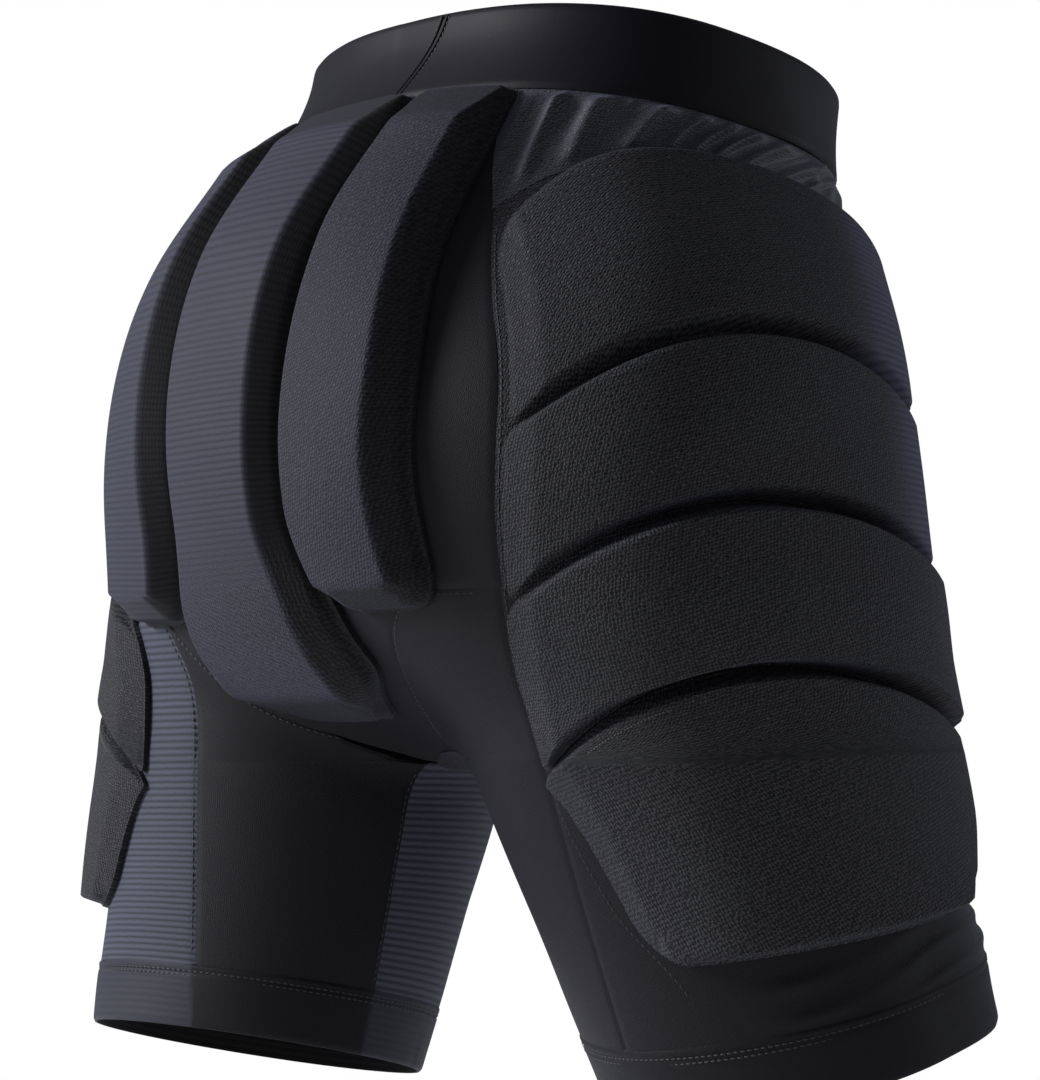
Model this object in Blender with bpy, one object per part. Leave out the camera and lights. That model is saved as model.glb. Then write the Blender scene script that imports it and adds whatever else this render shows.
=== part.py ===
"""Padded impact shorts, as they stand on a wearer in mid stride.

The wearer faces -Y, the wearer's left is +X, and the origin is the middle of the wearer's waist.
One smooth form stands for the body inside. Every panel and pad is a patch of that form, laid out by
two lengths: the run round it from the centre back, and the drop below the waist.
"""

import math

import bpy
import numpy as np
from mathutils import Matrix, Vector

LEFT, RIGHT = 1, -1
SIDES = (("left", LEFT), ("right", RIGHT))

# ---- the form: drop below the waist, half width, depth behind and depth in front, in metres ----
TRUNK = (
    (-0.030, 0.127, 0.074, 0.122),
    (0.000, 0.130, 0.077, 0.119),
    (0.042, 0.138, 0.102, 0.107),
    (0.100, 0.155, 0.143, 0.100),
    (0.170, 0.171, 0.157, 0.095),
    (0.230, 0.178, 0.147, 0.094),
    (0.300, 0.174, 0.120, 0.090),
    (0.360, 0.166, 0.105, 0.081),
)
TRUNK_SQUARENESS = 2.3
SEAT_FLOOR = 0.235  # drop at which the trunk starts to round under
SEAT_FLOOR_DEPTH = 0.062
RIM_DROP = 0.001
RIM_TILT = math.radians(10.5)  # the rim is lower in front
TILT_FADE = (0.044, 0.09)  # drop at which the sections start to level out, and the drop that this takes
HIP = (0.094, 0.029, 0.185)  # out from the middle, back, and drop of each hip's axis
STRIDE = {LEFT: math.radians(-11.0), RIGHT: math.radians(17.5)}  # forward swing of each thigh at rest
SPLAY = math.radians(4.5)
THIGH_HALF_WIDTH = (0.089, 0.079)  # at the hip and at the hem
THIGH_HALF_DEPTH = (0.099, 0.072)
THIGH_TOP_DEPTH = 0.10
FULLNESS = {LEFT: 0.98, RIGHT: 1.08}  # of each thigh: the one that swings forward bulges
LEG_DROP = 0.430  # drop of the hem's edge along the thigh
FILLET = 0.035  # blends the thighs into the trunk

# ---- the garment; its parts' drops are below the waist too ----
FABRIC = 0.0012
BAND_HEIGHT = 0.041
BAND_FOOT = RIM_DROP + BAND_HEIGHT
BAND_THICKNESS = 0.0024
JOIN_OFFSET = (0.034, 0.020)  # of the band's join, right of the centre back, at the rim and at the band's foot
JOIN_WIDTH = 0.0045
JOIN_THICKNESS = 0.0008
JOIN_INSET = 0.002  # from the band's two edges
JOIN_GAP = 0.0014
HEM_HEIGHT = 0.028
HEM_THICKNESS = 0.0018
SEAM_GAP = 0.0008
LAYER_GAP = 0.0018
COVER = 0.0010
# The side line runs down the outside of the hip and thigh. Runs from it are less than 0 behind it.
SEAT_SEAM = (-0.107, -0.129)  # of the seat panel's edge, at the band and below the waist
SEAT_SEAM_EASE = 0.09  # drop over which it goes from one to the other
OUTSEAM = {LEFT: -0.160, RIGHT: -0.130}  # of the back thigh panel's outer edge
FRONT_SEAM = 0.100
SEAT_HEM_GAP = 0.0022  # below the seat panel's sloping edge
INSEAM_HALF_WIDTH = 0.037  # of the inner thigh panel
INSEAM_TOP = 0.016  # of the inner thigh panel's top edge, below the crotch
FRONT_FOOT_RISE = 0.010  # of the front panel's foot towards the middle
GUSSET_HALF_WIDTH = 0.015
GUSSET_SPAN = (0.054, -0.018)  # back and front ends
GUSSET_SEED = 0.004  # below the crotch, where its points start before they move onto the form
BACK_EDGE = -0.222  # of the back thigh panel, under the seat
THIGH_COLUMNS = 6
PANEL_CELL = 0.024  # length of a thigh panel's cells
UNDER_SEAT = (0.2935, 0.238, 0.030, 0.070)  # drop at the middle, drop at the sides, flat run, sloping run

# ---- the pads ----
PAD_RIM = 0.005
CHAMFER = 0.008
GROOVE = 0.0062  # between the foams of neighbouring segments
COVER_GAP = 0.0010  # between the covers of neighbouring segments
FLANGE = (GROOVE - COVER_GAP) / 2  # a cover's sewn edge, out from its foam
FLANGE_ROOT = 0.0014
COVER_CLEARANCE = 0.0007
SEAT_PAD_THICKNESS = 0.017
TAIL_PAD_THICKNESS = 0.015
HIP_PAD_THICKNESS = (0.0125, 0.0130, 0.0160, 0.0125)  # of each segment, from the waist down
TAIL_HALF_WIDTH = 0.037
TAIL_FOOT_HALF_WIDTH = 0.050
TAIL_FLARE = (0.20, 0.05)  # drop at which the foot starts to widen, and the drop that this takes
TAIL_TIP = (0.022, 0.262, 0.022)  # the rounded tip: narrower by, from this drop, over this drop
SEAT_PADS_BELOW_BAND = 0.009
TAIL_FOOT = 0.281
CHANNEL = 0.0105  # between the tailbone pad's foam and each seat pad's
SEAT_PAD_EDGE = 0.110  # run from the centre back
SEAT_PAD_TAPER = (0.020, 0.12)  # narrower at the band by this, over this drop
SEAT_PAD_FOOT = 0.242
HIP_EDGES = (-0.113, 0.080)
HIP_CROWN = -0.025  # run from the side line to the crown of each arched line
ARCHES = (0.066, 0.139, 0.204, 0.269)  # drops of the crowns of the hip pad's top edge and three grooves
ARCH_FALL = (4.0, 3.0)  # fall for each squared metre of run, behind the crown and before it
HIP_FOOT = 0.380
HIP_FOOT_TAPER = (0.030, 0.030)  # the last segment is narrower at its foot by this, behind and before


def smooth(x):
    x = np.clip(x, 0.0, 1.0)
    return x * x * (3.0 - 2.0 * x)


def through(stations, at):
    """A smooth curve through the stations, whose first column is the drop."""
    table = np.asarray(stations, float)
    drops = table[:, 0]
    at = np.clip(at, drops[0], drops[-1])
    k = np.clip(np.searchsorted(drops, at) - 1, 0, len(drops) - 2)
    slopes = np.gradient(table[:, 1:], drops, axis=0)
    step = (drops[k + 1] - drops[k])[..., None]
    f = (at - drops[k])[..., None] / step
    start = (2 * f**3 - 3 * f**2 + 1) * table[k, 1:] + (f**3 - 2 * f**2 + f) * step * slopes[k]
    end = (3 * f**2 - 2 * f**3) * table[k + 1, 1:] + (f**3 - f**2) * step * slopes[k + 1]
    return start + end


def between(start, end, share):
    return start + (end - start) * share


def round_distance(q, r):
    """About how far outside a section a point is, from its level q and its distance r from the middle."""
    return (q - 1.0) * (r + 1e-7) / (q + 1e-6)


def trunk_distance(p):
    x, y, z = p[..., 0], p[..., 1], p[..., 2]
    wide, behind, before = np.moveaxis(through(TRUNK, -z), -1, 0)
    deep = np.where(y > 0, behind, before)
    under = np.maximum(-z - SEAT_FLOOR, 0.0)
    n = TRUNK_SQUARENESS
    q = (np.abs(x / wide) ** n + np.abs(y / deep) ** n + (under / SEAT_FLOOR_DEPTH) ** n) ** (1 / n)
    return round_distance(q, np.sqrt(x * x + y * y + under * under))


def leg_run(side):
    """How far the thigh's axis moves for each metre of drop."""
    return np.array([side * math.tan(SPLAY), -math.tan(STRIDE[side]), -1.0])


def hip_point(side):
    return np.array([side * HIP[0], HIP[1], -HIP[2]])


def thigh_distance(p, side):
    axis = leg_run(side) / np.linalg.norm(leg_run(side))
    across = np.array([1.0, 0.0, 0.0]) - axis[0] * axis
    across = across / np.linalg.norm(across)
    rel = p - hip_point(side)
    down = rel @ axis
    f = np.clip(down / (LEG_DROP - HIP[2]), -0.6, 1.3)
    wide = between(*THIGH_HALF_WIDTH, f) * FULLNESS[side]
    deep = between(*THIGH_HALF_DEPTH, f) * FULLNESS[side]
    a = rel @ across
    b = rel @ np.cross(axis, across)
    c = np.minimum(down, 0.0)
    q = np.sqrt((a / wide) ** 2 + (b / deep) ** 2 + (c / THIGH_TOP_DEPTH) ** 2)
    return round_distance(q, np.sqrt(a * a + b * b + c * c))


def soft_least(a, b):
    h = np.clip(0.5 + 0.5 * (b - a) / FILLET, 0.0, 1.0)
    return b + (a - b) * h - FILLET * h * (1.0 - h)


def distance(p):
    """About how far each point is outside the form; less than 0 inside it."""
    thighs = soft_least(thigh_distance(p, RIGHT), thigh_distance(p, LEFT))
    return soft_least(trunk_distance(p), thighs)


def gradient(p):
    step = 4e-4
    return np.stack([distance(p + step * v) - distance(p - step * v) for v in np.eye(3)], -1) / (2 * step)


def onto_form(p):
    for _ in range(3):
        g = gradient(p)
        p = p - g * (distance(p) / np.maximum((g * g).sum(-1), 1e-6))[..., None]
    return p


def raised(p, lift):
    n = gradient(p)
    return p + n / np.linalg.norm(n, axis=-1, keepdims=True) * lift[..., None]


class Lay:
    """Finds points of the form by run and drop. It holds one table of sections for each side."""

    ROWS_ABOVE, ROWS_BELOW, COLUMNS = 64, 36, 96
    REACH = 0.40

    def __init__(self):
        low, high = SEAT_FLOOR, LEG_DROP
        for _ in range(40):
            middle = (low + high) / 2
            low, high = (middle, high) if self.middle_line(middle)[1].min() < 0 else (low, middle)
        self.crotch = low
        across, levels = self.middle_line(low)
        self.crotch_back = across[levels.argmin()]
        above = self.crotch * (1 - (1 - np.arange(self.ROWS_ABOVE) / self.ROWS_ABOVE) ** 2)
        below = between(self.crotch + 1e-5, LEG_DROP + 0.004, np.linspace(0, 1, self.ROWS_BELOW) ** 1.6)
        self.drops = np.concatenate([[-0.01], above, below])
        self.points = {}
        self.runs = {}
        self.side_runs = {}
        for _, side in SIDES:
            sections = [self.section(side, drop) for drop in self.drops]
            rows = np.array([points for points, _ in sections])
            steps = np.linalg.norm(np.diff(rows, axis=1), axis=2)
            runs = np.concatenate([np.zeros((len(rows), 1)), np.cumsum(steps, axis=1)], axis=1)
            at_side = [np.interp(math.pi / 2, angle, run) for (_, angle), run in zip(sections, runs)]
            self.points[side] = rows
            self.runs[side] = runs
            self.side_runs[side] = np.array(at_side)

    def middle_line(self, drop):
        """Places along a level line in the mirror plane, and their distances from the form."""
        back = np.linspace(-0.20, 0.25, 1801)
        return back, distance(np.stack([0 * back, back, 0 * back - drop], -1))

    def frame(self, side, drop):
        """The centre of a section and its backward direction."""
        mix = smooth((drop - 0.08) / (self.crotch - 0.08))
        leg = hip_point(side) + leg_run(side) * (drop - HIP[2])
        centre = np.array([0.0, 0.0, -drop]) * (1 - mix) + leg * mix
        tilt = RIM_TILT * (1 - smooth((drop - TILT_FADE[0]) / TILT_FADE[1]))
        tilt = tilt - STRIDE[side] * smooth((drop - self.crotch) / (LEG_DROP - self.crotch))
        return centre, np.array([0.0, math.cos(tilt), math.sin(tilt)])

    def section(self, side, drop):
        """Points round one section, from the centre back (below the crotch, the inseam) to the front."""
        centre, back = self.frame(side, drop)
        if drop < self.crotch:
            line = np.linspace(-0.20, 0.25, 1801)
            middle = centre * np.array([0.0, 1.0, 1.0])
            inside = np.flatnonzero(distance(middle + line[:, None] * back) < 0)
            start = math.atan2(-abs(centre[0]), line[inside[-1]])
            end = math.atan2(-abs(centre[0]), line[inside[0]])
            end = end + 2 * math.pi if end < start or end < 0 else end
        else:
            start = math.atan2(-abs(centre[0]), self.crotch_back - centre[1])
            end = start + 2 * math.pi
        angle = np.linspace(start, end, self.COLUMNS + 1)
        ray = np.cos(angle)[:, None] * back + np.sin(angle)[:, None] * np.array([side, 0.0, 0.0])
        far = np.full(len(angle), self.REACH)
        inward = ray[:, 0] * side < -1e-6
        far[inward] = np.minimum(self.REACH, abs(centre[0]) / -(ray[inward, 0] * side))
        near = np.zeros(len(angle))
        for _ in range(30):
            middle = (near + far) / 2
            inside = distance(centre + middle[:, None] * ray) < 0
            near = np.where(inside, middle, near)
            far = np.where(inside, far, middle)
        return centre + near[:, None] * ray, angle

    def side_run(self, side, drop):
        """The run from the centre back to the side line at a drop."""
        return np.interp(drop, self.drops, self.side_runs[side])

    def girth(self, side, drop):
        """The whole run of one side's section at a drop."""
        return np.interp(drop, self.drops, self.runs[side][:, -1])

    def flat(self, side, run, drop):
        """Points on the form itself, by run and drop."""
        run, drop = np.broadcast_arrays(np.asarray(run, float), np.asarray(drop, float))
        shape = run.shape
        run, drop = run.ravel(), drop.ravel()
        found = np.zeros((len(run), 3))
        row = np.clip(np.searchsorted(self.drops, drop) - 1, 0, len(self.drops) - 2)
        share = (drop - self.drops[row]) / (self.drops[row + 1] - self.drops[row])
        columns = np.arange(self.COLUMNS + 1)
        for r in np.unique(row):
            at = row == r
            f = share[at]
            upper, lower = self.runs[side][r], self.runs[side][r + 1]
            j = (1 - f) * np.interp(run[at], upper, columns) + f * np.interp(run[at], lower, columns)
            i = np.clip(j.astype(int), 0, self.COLUMNS - 1)
            g = (j - i)[:, None]
            top = self.points[side][r][i] * (1 - g) + self.points[side][r][i + 1] * g
            foot = self.points[side][r + 1][i] * (1 - g) + self.points[side][r + 1][i + 1] * g
            found[at] = top * (1 - f[:, None]) + foot * f[:, None]
        return onto_form(found).reshape(shape + (3,))

    def place(self, side, run, drop, lift):
        """Points raised from the form. On a side of 0 the run is signed, less than 0 on the right."""
        run, drop, lift = np.broadcast_arrays(*(np.asarray(a, float) for a in (run, drop, lift)))
        if side == 0:
            left = self.flat(LEFT, np.maximum(run, 0), drop)
            right = self.flat(RIGHT, np.maximum(-run, 0), drop)
            p = np.where((run >= 0)[..., None], left, right)
        else:
            p = self.flat(side, np.where(run < 0, run + self.girth(side, drop), run), drop)
        return raised(p, lift)


# ---- solids from patches ----
def make_material(name, colour, roughness):
    material = bpy.data.materials.new(name)
    material.use_nodes = True
    shader = material.node_tree.nodes["Principled BSDF"]
    shader.inputs["Base Color"].default_value = (*colour, 1.0)
    shader.inputs["Roughness"].default_value = roughness
    shader.inputs["Metallic"].default_value = 0.0
    return material


def make_solid(name, inner, outer, look, ring=False):
    """A closed solid between two grids of points; a ring joins its last column to its first."""
    rows, columns = outer.shape[:2]
    points = np.concatenate([outer.reshape(-1, 3), inner.reshape(-1, 3)])
    number = np.arange(rows * columns).reshape(rows, columns)
    if ring:
        number = np.concatenate([number, number[:, :1]], axis=1)
    below = number + rows * columns
    faces = []
    for i in range(rows - 1):
        for j in range(number.shape[1] - 1):
            for n, turn in ((number, 1), (below, -1)):
                faces.append((n[i, j], n[i, j + 1], n[i + 1, j + 1])[::turn])
                faces.append((n[i, j], n[i + 1, j + 1], n[i + 1, j])[::turn])
    rim = [(number[0], below[0]), (number[-1][::-1], below[-1][::-1])]
    if not ring:
        rim += [(number[::-1, 0], below[::-1, 0]), (number[:, -1], below[:, -1])]
    for top, foot in rim:
        for k in range(len(top) - 1):
            faces.append((top[k], foot[k], foot[k + 1]))
            faces.append((top[k], foot[k + 1], top[k + 1]))
    mesh = bpy.data.meshes.new(name)
    mesh.from_pydata(points.tolist(), [], [tuple(int(v) for v in f) for f in faces])
    corners = points[np.array(faces)]
    if np.einsum("ij,ij->i", corners[:, 0], np.cross(corners[:, 1], corners[:, 2])).sum() < 0:
        mesh.flip_normals()
    mesh.shade_smooth()
    mesh.set_sharp_from_angle(angle=math.radians(40))
    mesh.materials.append(make_material(name, *look))
    made = bpy.data.objects.new(name, mesh)
    bpy.context.scene.collection.objects.link(made)
    return made


def grid(columns, rows):
    return np.meshgrid(np.linspace(0, 1, columns + 1), np.linspace(0, 1, rows + 1))


def panel(lay, name, side, outline, cells, look, lifts=(0.0, FABRIC)):
    """A fabric panel. Its outline turns shares across and down into run and drop."""
    run, drop = outline(*grid(*cells))
    make_solid(name, lay.place(side, run, drop, lifts[0]), lay.place(side, run, drop, lifts[1]), look)


def stepped(inset_lines, cells, length):
    """Places from one edge to the other, with lines at the given insets from both ends."""
    inset = np.asarray(inset_lines)
    middle = np.linspace(inset[-1], length - inset[-1], cells + 1)[1:-1]
    return np.concatenate([inset, middle, (length - inset)[::-1]])


def profile(levels, count):
    """The level of each of count lines: the given ones from both ends, and the last one between them."""
    line = np.full(count, levels[-1])
    line[: len(levels)] = levels
    line[count - len(levels) :] = levels[::-1]
    return line


def pad_sheet(lay, side, outline, size, insets, levels, cells):
    """One surface of a pad: lines at the insets from its edges, each raised to its level."""
    across = stepped(insets, cells[0], size[0])
    down = stepped(insets, cells[1], size[1])
    lift = np.minimum.outer(profile(levels, len(down)), profile(levels, len(across)))
    run, drop = outline(*np.meshgrid(across / size[0], down / size[1]))
    return lay.place(side, run, drop, lift)


def pad(lay, name, side, outline, size, thickness, cells, looks):
    """A foam block, and the cover that is stitched down round it."""
    base = FABRIC + LAYER_GAP
    foam_insets = (0.0, CHAMFER)
    foam_top = pad_sheet(lay, side, outline, size, foam_insets, (base + PAD_RIM, base + thickness), cells)
    foam_foot = pad_sheet(lay, side, outline, size, foam_insets, (base, base), cells)
    make_solid(name + "_foam", foam_foot, foam_top, looks[0])
    insets = (-FLANGE, -FLANGE_ROOT, -COVER_CLEARANCE, CHAMFER)
    under = np.array([base, base, base + PAD_RIM + COVER_CLEARANCE, base + thickness + COVER_CLEARANCE])
    cover_under = pad_sheet(lay, side, outline, size, insets, under, cells)
    cover_top = pad_sheet(lay, side, outline, size, insets, under + COVER, cells)
    make_solid(name + "_cover", cover_under, cover_top, looks[1])


# what turns with each thigh, about its hip's axis
THIGH_PIECES = (
    "back_thigh_panel",
    "outer_thigh_panel",
    "front_thigh_panel",
    "inner_thigh_panel",
    "leg_hem",
    "hip_3_foam",
    "hip_3_cover",
    "hip_4_foam",
    "hip_4_cover",
)

# ---- looks: colour and roughness ----
FOAM = ((0.05, 0.05, 0.055), 0.9)
RIBBED = ((0.020, 0.021, 0.030), 0.7)
MESH = ((0.012, 0.012, 0.016), 0.75)
CREPE = ((0.006, 0.006, 0.007), 0.8)
SMOOTH = ((0.006, 0.006, 0.008), 0.65)
ELASTIC = ((0.004, 0.004, 0.006), 0.5)


# ---- outlines ----
def under_seat(run):
    """Drop of the seam under the seat."""
    middle, sides, flat, slope = UNDER_SEAT
    return between(middle, sides, smooth((np.abs(run) - flat) / slope))


def seat_seam(drop):
    """Run from the side line to the seat panel's edge."""
    top, below = SEAT_SEAM
    return between(top, below, smooth((drop - BAND_FOOT) / SEAT_SEAM_EASE))


def arch(run, crown):
    """Drop of one of the hip pad's arched lines, at a run from the side line."""
    fall = np.where(run < HIP_CROWN, ARCH_FALL[0], ARCH_FALL[1])
    return crown + fall * (run - HIP_CROWN) ** 2


def waist_ring(lay, drops, lift):
    """Points round the waist at each drop, from the centre back round by the left."""
    share = np.linspace(0, 1, 19)
    rows = []
    for drop in drops:
        left = lay.place(LEFT, share * lay.girth(LEFT, drop), drop, lift)
        right = lay.place(RIGHT, share * lay.girth(RIGHT, drop), drop, lift)
        rows.append(np.concatenate([left[:-1], right[::-1][:-1]]))
    return np.array(rows)


def waistband(lay):
    drops = (RIM_DROP, RIM_DROP + BAND_HEIGHT / 2, BAND_FOOT)
    inner = waist_ring(lay, drops, 0.0)
    outer = waist_ring(lay, drops, BAND_THICKNESS)
    # the rim is cut level with the tilted plane through its inner edge
    for ring in (inner[0], outer[0]):
        ring[:, 2] = ring[:, 1] * math.tan(RIM_TILT) - RIM_DROP
    make_solid("waistband", inner, outer, ELASTIC, ring=True)


def waistband_join(lay):
    """The strip that laps the two ends of the elastic, right of the centre back."""

    def outline(across, down):
        middle = between(JOIN_OFFSET[0], JOIN_OFFSET[1], down)
        run = JOIN_WIDTH * (across - 0.5) - middle
        return run, between(RIM_DROP + JOIN_INSET, BAND_FOOT - JOIN_INSET, down)

    base = BAND_THICKNESS + JOIN_GAP
    panel(lay, "waistband_join", 0, outline, (2, 3), ELASTIC, (base, base + JOIN_THICKNESS))


def seat_panel(lay):
    """The back panel, whose lower edge takes the same columns as the thigh panels below it."""
    inner = (INSEAM_HALF_WIDTH + SEAM_GAP) / (lay.side_run(RIGHT, UNDER_SEAT[1]) + SEAT_SEAM[1])
    half = np.concatenate([[inner / 2], between(inner, 1.0, np.linspace(0, 1, THIGH_COLUMNS + 1))])
    across, down = np.meshgrid(np.concatenate([-half[::-1], [0.0], half]), np.linspace(0, 1, 12))
    top = BAND_FOOT + SEAM_GAP
    level = between(top, UNDER_SEAT[1], down)
    edge = np.where(across < 0, lay.side_run(RIGHT, level), lay.side_run(LEFT, level)) + seat_seam(level)
    run = edge * across
    drop = between(top, under_seat(run) - SEAM_GAP, down)
    make_solid("seat_panel", lay.place(0, run, drop, 0.0), lay.place(0, run, drop, FABRIC), SMOOTH)


def yoke(lay, name, side):
    """The gathered panel between the band and the hip pad."""

    def outline(across, down):
        top = BAND_FOOT + SEAM_GAP
        run = between(SEAT_SEAM[0], FRONT_SEAM, across)
        drop = between(top, arch(run, ARCHES[0]) - FLANGE - 2 * SEAM_GAP, down)
        run = between(seat_seam(drop) + SEAM_GAP, FRONT_SEAM, across)
        return lay.side_run(side, drop) + run, drop

    panel(lay, f"{name}_yoke", side, outline, (9, 3), SMOOTH)


def side_panel(lay, name, side):
    """The base that the hip pad is sewn to, down to the thigh."""

    def outline(across, down):
        run = between(SEAT_SEAM[0], FRONT_SEAM, across)
        drop = between(arch(run, ARCHES[0]) - FLANGE - SEAM_GAP, UNDER_SEAT[1], down)
        run = between(seat_seam(drop) + SEAM_GAP, FRONT_SEAM, across)
        return lay.side_run(side, drop) + run, drop

    panel(lay, f"{name}_side_panel", side, outline, (9, 7), CREPE)


def front_panel(lay, name, side):
    def outline(across, down):
        top = BAND_FOOT + SEAM_GAP
        foot = lay.crotch - SEAM_GAP - FRONT_FOOT_RISE * smooth(4 * across - 3)
        drop = between(top, foot, down)
        start = lay.side_run(side, drop) + FRONT_SEAM + SEAM_GAP
        return between(start, lay.girth(side, drop) - SEAM_GAP / 2, across), drop

    panel(lay, f"{name}_front_panel", side, outline, (6, 10), RIBBED)


def crotch_gusset(lay):
    """The piece between the legs, laid out by its own width and length."""
    half = GUSSET_HALF_WIDTH
    across, along = np.meshgrid(np.linspace(-half, half, 5), np.linspace(*GUSSET_SPAN, 6))
    p = np.stack([across, along, 0 * across - lay.crotch - GUSSET_SEED], -1)
    p = onto_form(onto_form(p))
    make_solid("crotch_gusset", p, raised(p, FABRIC + 0 * across), MESH)


def thigh_panels(lay, name, side):
    """Back, outer, front and inner panels of one thigh."""
    foot = LEG_DROP - HEM_HEIGHT - SEAM_GAP
    top = lay.crotch + SEAM_GAP

    def back(across, down):
        def run_at(drop):
            edge = lay.side_run(side, drop) + OUTSEAM[side] - SEAM_GAP
            return between(INSEAM_HALF_WIDTH + SEAM_GAP, edge, across)

        start = UNDER_SEAT[1] + 0 * across
        for _ in range(4):
            start = under_seat(run_at(start)) + SEAT_HEM_GAP
        drop = between(start, foot, down)
        return run_at(drop), drop

    def outer(across, down):
        run = between(OUTSEAM[side], FRONT_SEAM, across)
        drop = between(under_seat(lay.side_run(side, UNDER_SEAT[1]) + run) + SEAT_HEM_GAP, foot, down)
        return lay.side_run(side, drop) + run, drop

    def front(across, down):
        drop = between(top, foot, down)
        start = lay.side_run(side, drop) + FRONT_SEAM + SEAM_GAP
        return between(start, lay.girth(side, drop) - INSEAM_HALF_WIDTH - SEAM_GAP, across), drop

    def inner(across, down):
        return INSEAM_HALF_WIDTH * (2 * across - 1), between(top + INSEAM_TOP, foot, down)

    rows = math.ceil((LEG_DROP - UNDER_SEAT[1]) / PANEL_CELL)
    columns = round(THIGH_COLUMNS * (OUTSEAM[side] - BACK_EDGE) / (OUTSEAM[RIGHT] - BACK_EDGE))
    panel(lay, f"{name}_back_thigh_panel", side, back, (columns, rows), SMOOTH)
    panel(lay, f"{name}_outer_thigh_panel", side, outer, (9, rows), CREPE)
    panel(lay, f"{name}_front_thigh_panel", side, front, (6, 5), RIBBED)
    panel(lay, f"{name}_inner_thigh_panel", side, inner, (4, 4), RIBBED)


def leg_hem(lay, name, side):
    """The turned band round the leg's opening, cut square to the thigh."""
    share = np.linspace(0, 1, 25)[:-1]
    drops = np.array([LEG_DROP - HEM_HEIGHT, LEG_DROP - HEM_HEIGHT / 2, LEG_DROP])[:, None]
    run = share * lay.girth(side, drops)
    inner = lay.place(side, run, drops, 0.0)
    outer = lay.place(side, run, drops, HEM_THICKNESS)
    centre, back = lay.frame(side, LEG_DROP)
    down = np.cross(back, np.array([1.0, 0.0, 0.0]))
    for ring in (inner[-1], outer[-1]):
        ring -= ((ring - centre) @ down)[:, None] * down
    make_solid(f"{name}_leg_hem", inner, outer, SMOOTH, ring=True)


def tail_edge(drop):
    """Half width of the tailbone pad at a drop, before its tip is rounded."""
    start, length = TAIL_FLARE
    return between(TAIL_HALF_WIDTH, TAIL_FOOT_HALF_WIDTH, smooth((drop - start) / length))


def tailbone_pad(lay):
    top, foot = BAND_FOOT + SEAT_PADS_BELOW_BAND, TAIL_FOOT
    narrower, start, length = TAIL_TIP

    def outline(across, down):
        drop = between(top, foot, down)
        half = tail_edge(drop) - narrower * smooth((drop - start) / length)
        return half * (2 * across - 1), drop

    size = (2 * TAIL_HALF_WIDTH, foot - top)
    pad(lay, "tailbone_pad", 0, outline, size, TAIL_PAD_THICKNESS, (3, 12), (FOAM, RIBBED))


def seat_pad(lay, name, side):
    top, foot = BAND_FOOT + SEAT_PADS_BELOW_BAND, SEAT_PAD_FOOT
    inner = TAIL_HALF_WIDTH + CHANNEL
    narrower, length = SEAT_PAD_TAPER

    def outline(across, down):
        drop = between(top, foot, down)
        far = SEAT_PAD_EDGE - narrower * (1 - smooth((drop - top) / length))
        return between(tail_edge(drop) + CHANNEL, far, across), drop

    size = (SEAT_PAD_EDGE - inner, foot - top)
    pad(lay, f"{name}_seat_pad", side, outline, size, SEAT_PAD_THICKNESS, (3, 10), (FOAM, MESH))


def hip_segment(lay, name, side, k):
    """One foam block under its stitched cover. Segment 0 is at the waist and segment 3 on the thigh."""
    last = k == len(ARCHES) - 1
    back, front = HIP_EDGES

    def outline(across, down):
        narrow = np.clip(down, 0, 1) if last else 0 * down
        run = between(back + HIP_FOOT_TAPER[0] * narrow, front - HIP_FOOT_TAPER[1] * narrow, across)
        start = arch(run, ARCHES[k]) + (GROOVE / 2 if k else 0.0)
        end = HIP_FOOT + 0 * run if last else arch(run, ARCHES[k + 1]) - GROOVE / 2
        drop = between(start, end, down)
        return lay.side_run(side, drop) + run, drop

    size = (front - back, (HIP_FOOT if last else ARCHES[k + 1]) - ARCHES[k] - GROOVE)
    cells = (7, 4 if last else 3)
    pad(lay, f"{name}_hip_{k + 1}", side, outline, size, HIP_PAD_THICKNESS[k], cells, (FOAM, CREPE))


def put_origin(name, point):
    """Moves an object's origin onto a joint's axis and leaves its mesh where it is."""
    made = bpy.data.objects[name]
    made.data.transform(Matrix.Translation(-Vector(point)))
    made.location = point


def main():
    for old in list(bpy.data.objects):
        bpy.data.objects.remove(old)
    lay = Lay()
    waistband(lay)
    waistband_join(lay)
    seat_panel(lay)
    crotch_gusset(lay)
    tailbone_pad(lay)
    for name, side in SIDES:
        yoke(lay, name, side)
        side_panel(lay, name, side)
        front_panel(lay, name, side)
        thigh_panels(lay, name, side)
        leg_hem(lay, name, side)
        seat_pad(lay, name, side)
        for k in range(len(ARCHES)):
            hip_segment(lay, name, side, k)
        for piece in THIGH_PIECES:
            put_origin(f"{name}_{piece}", hip_point(side))


main()
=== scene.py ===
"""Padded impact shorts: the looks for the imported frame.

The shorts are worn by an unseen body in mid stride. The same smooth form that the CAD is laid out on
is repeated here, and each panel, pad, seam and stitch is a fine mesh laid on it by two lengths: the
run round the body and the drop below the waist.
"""

import math

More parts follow.
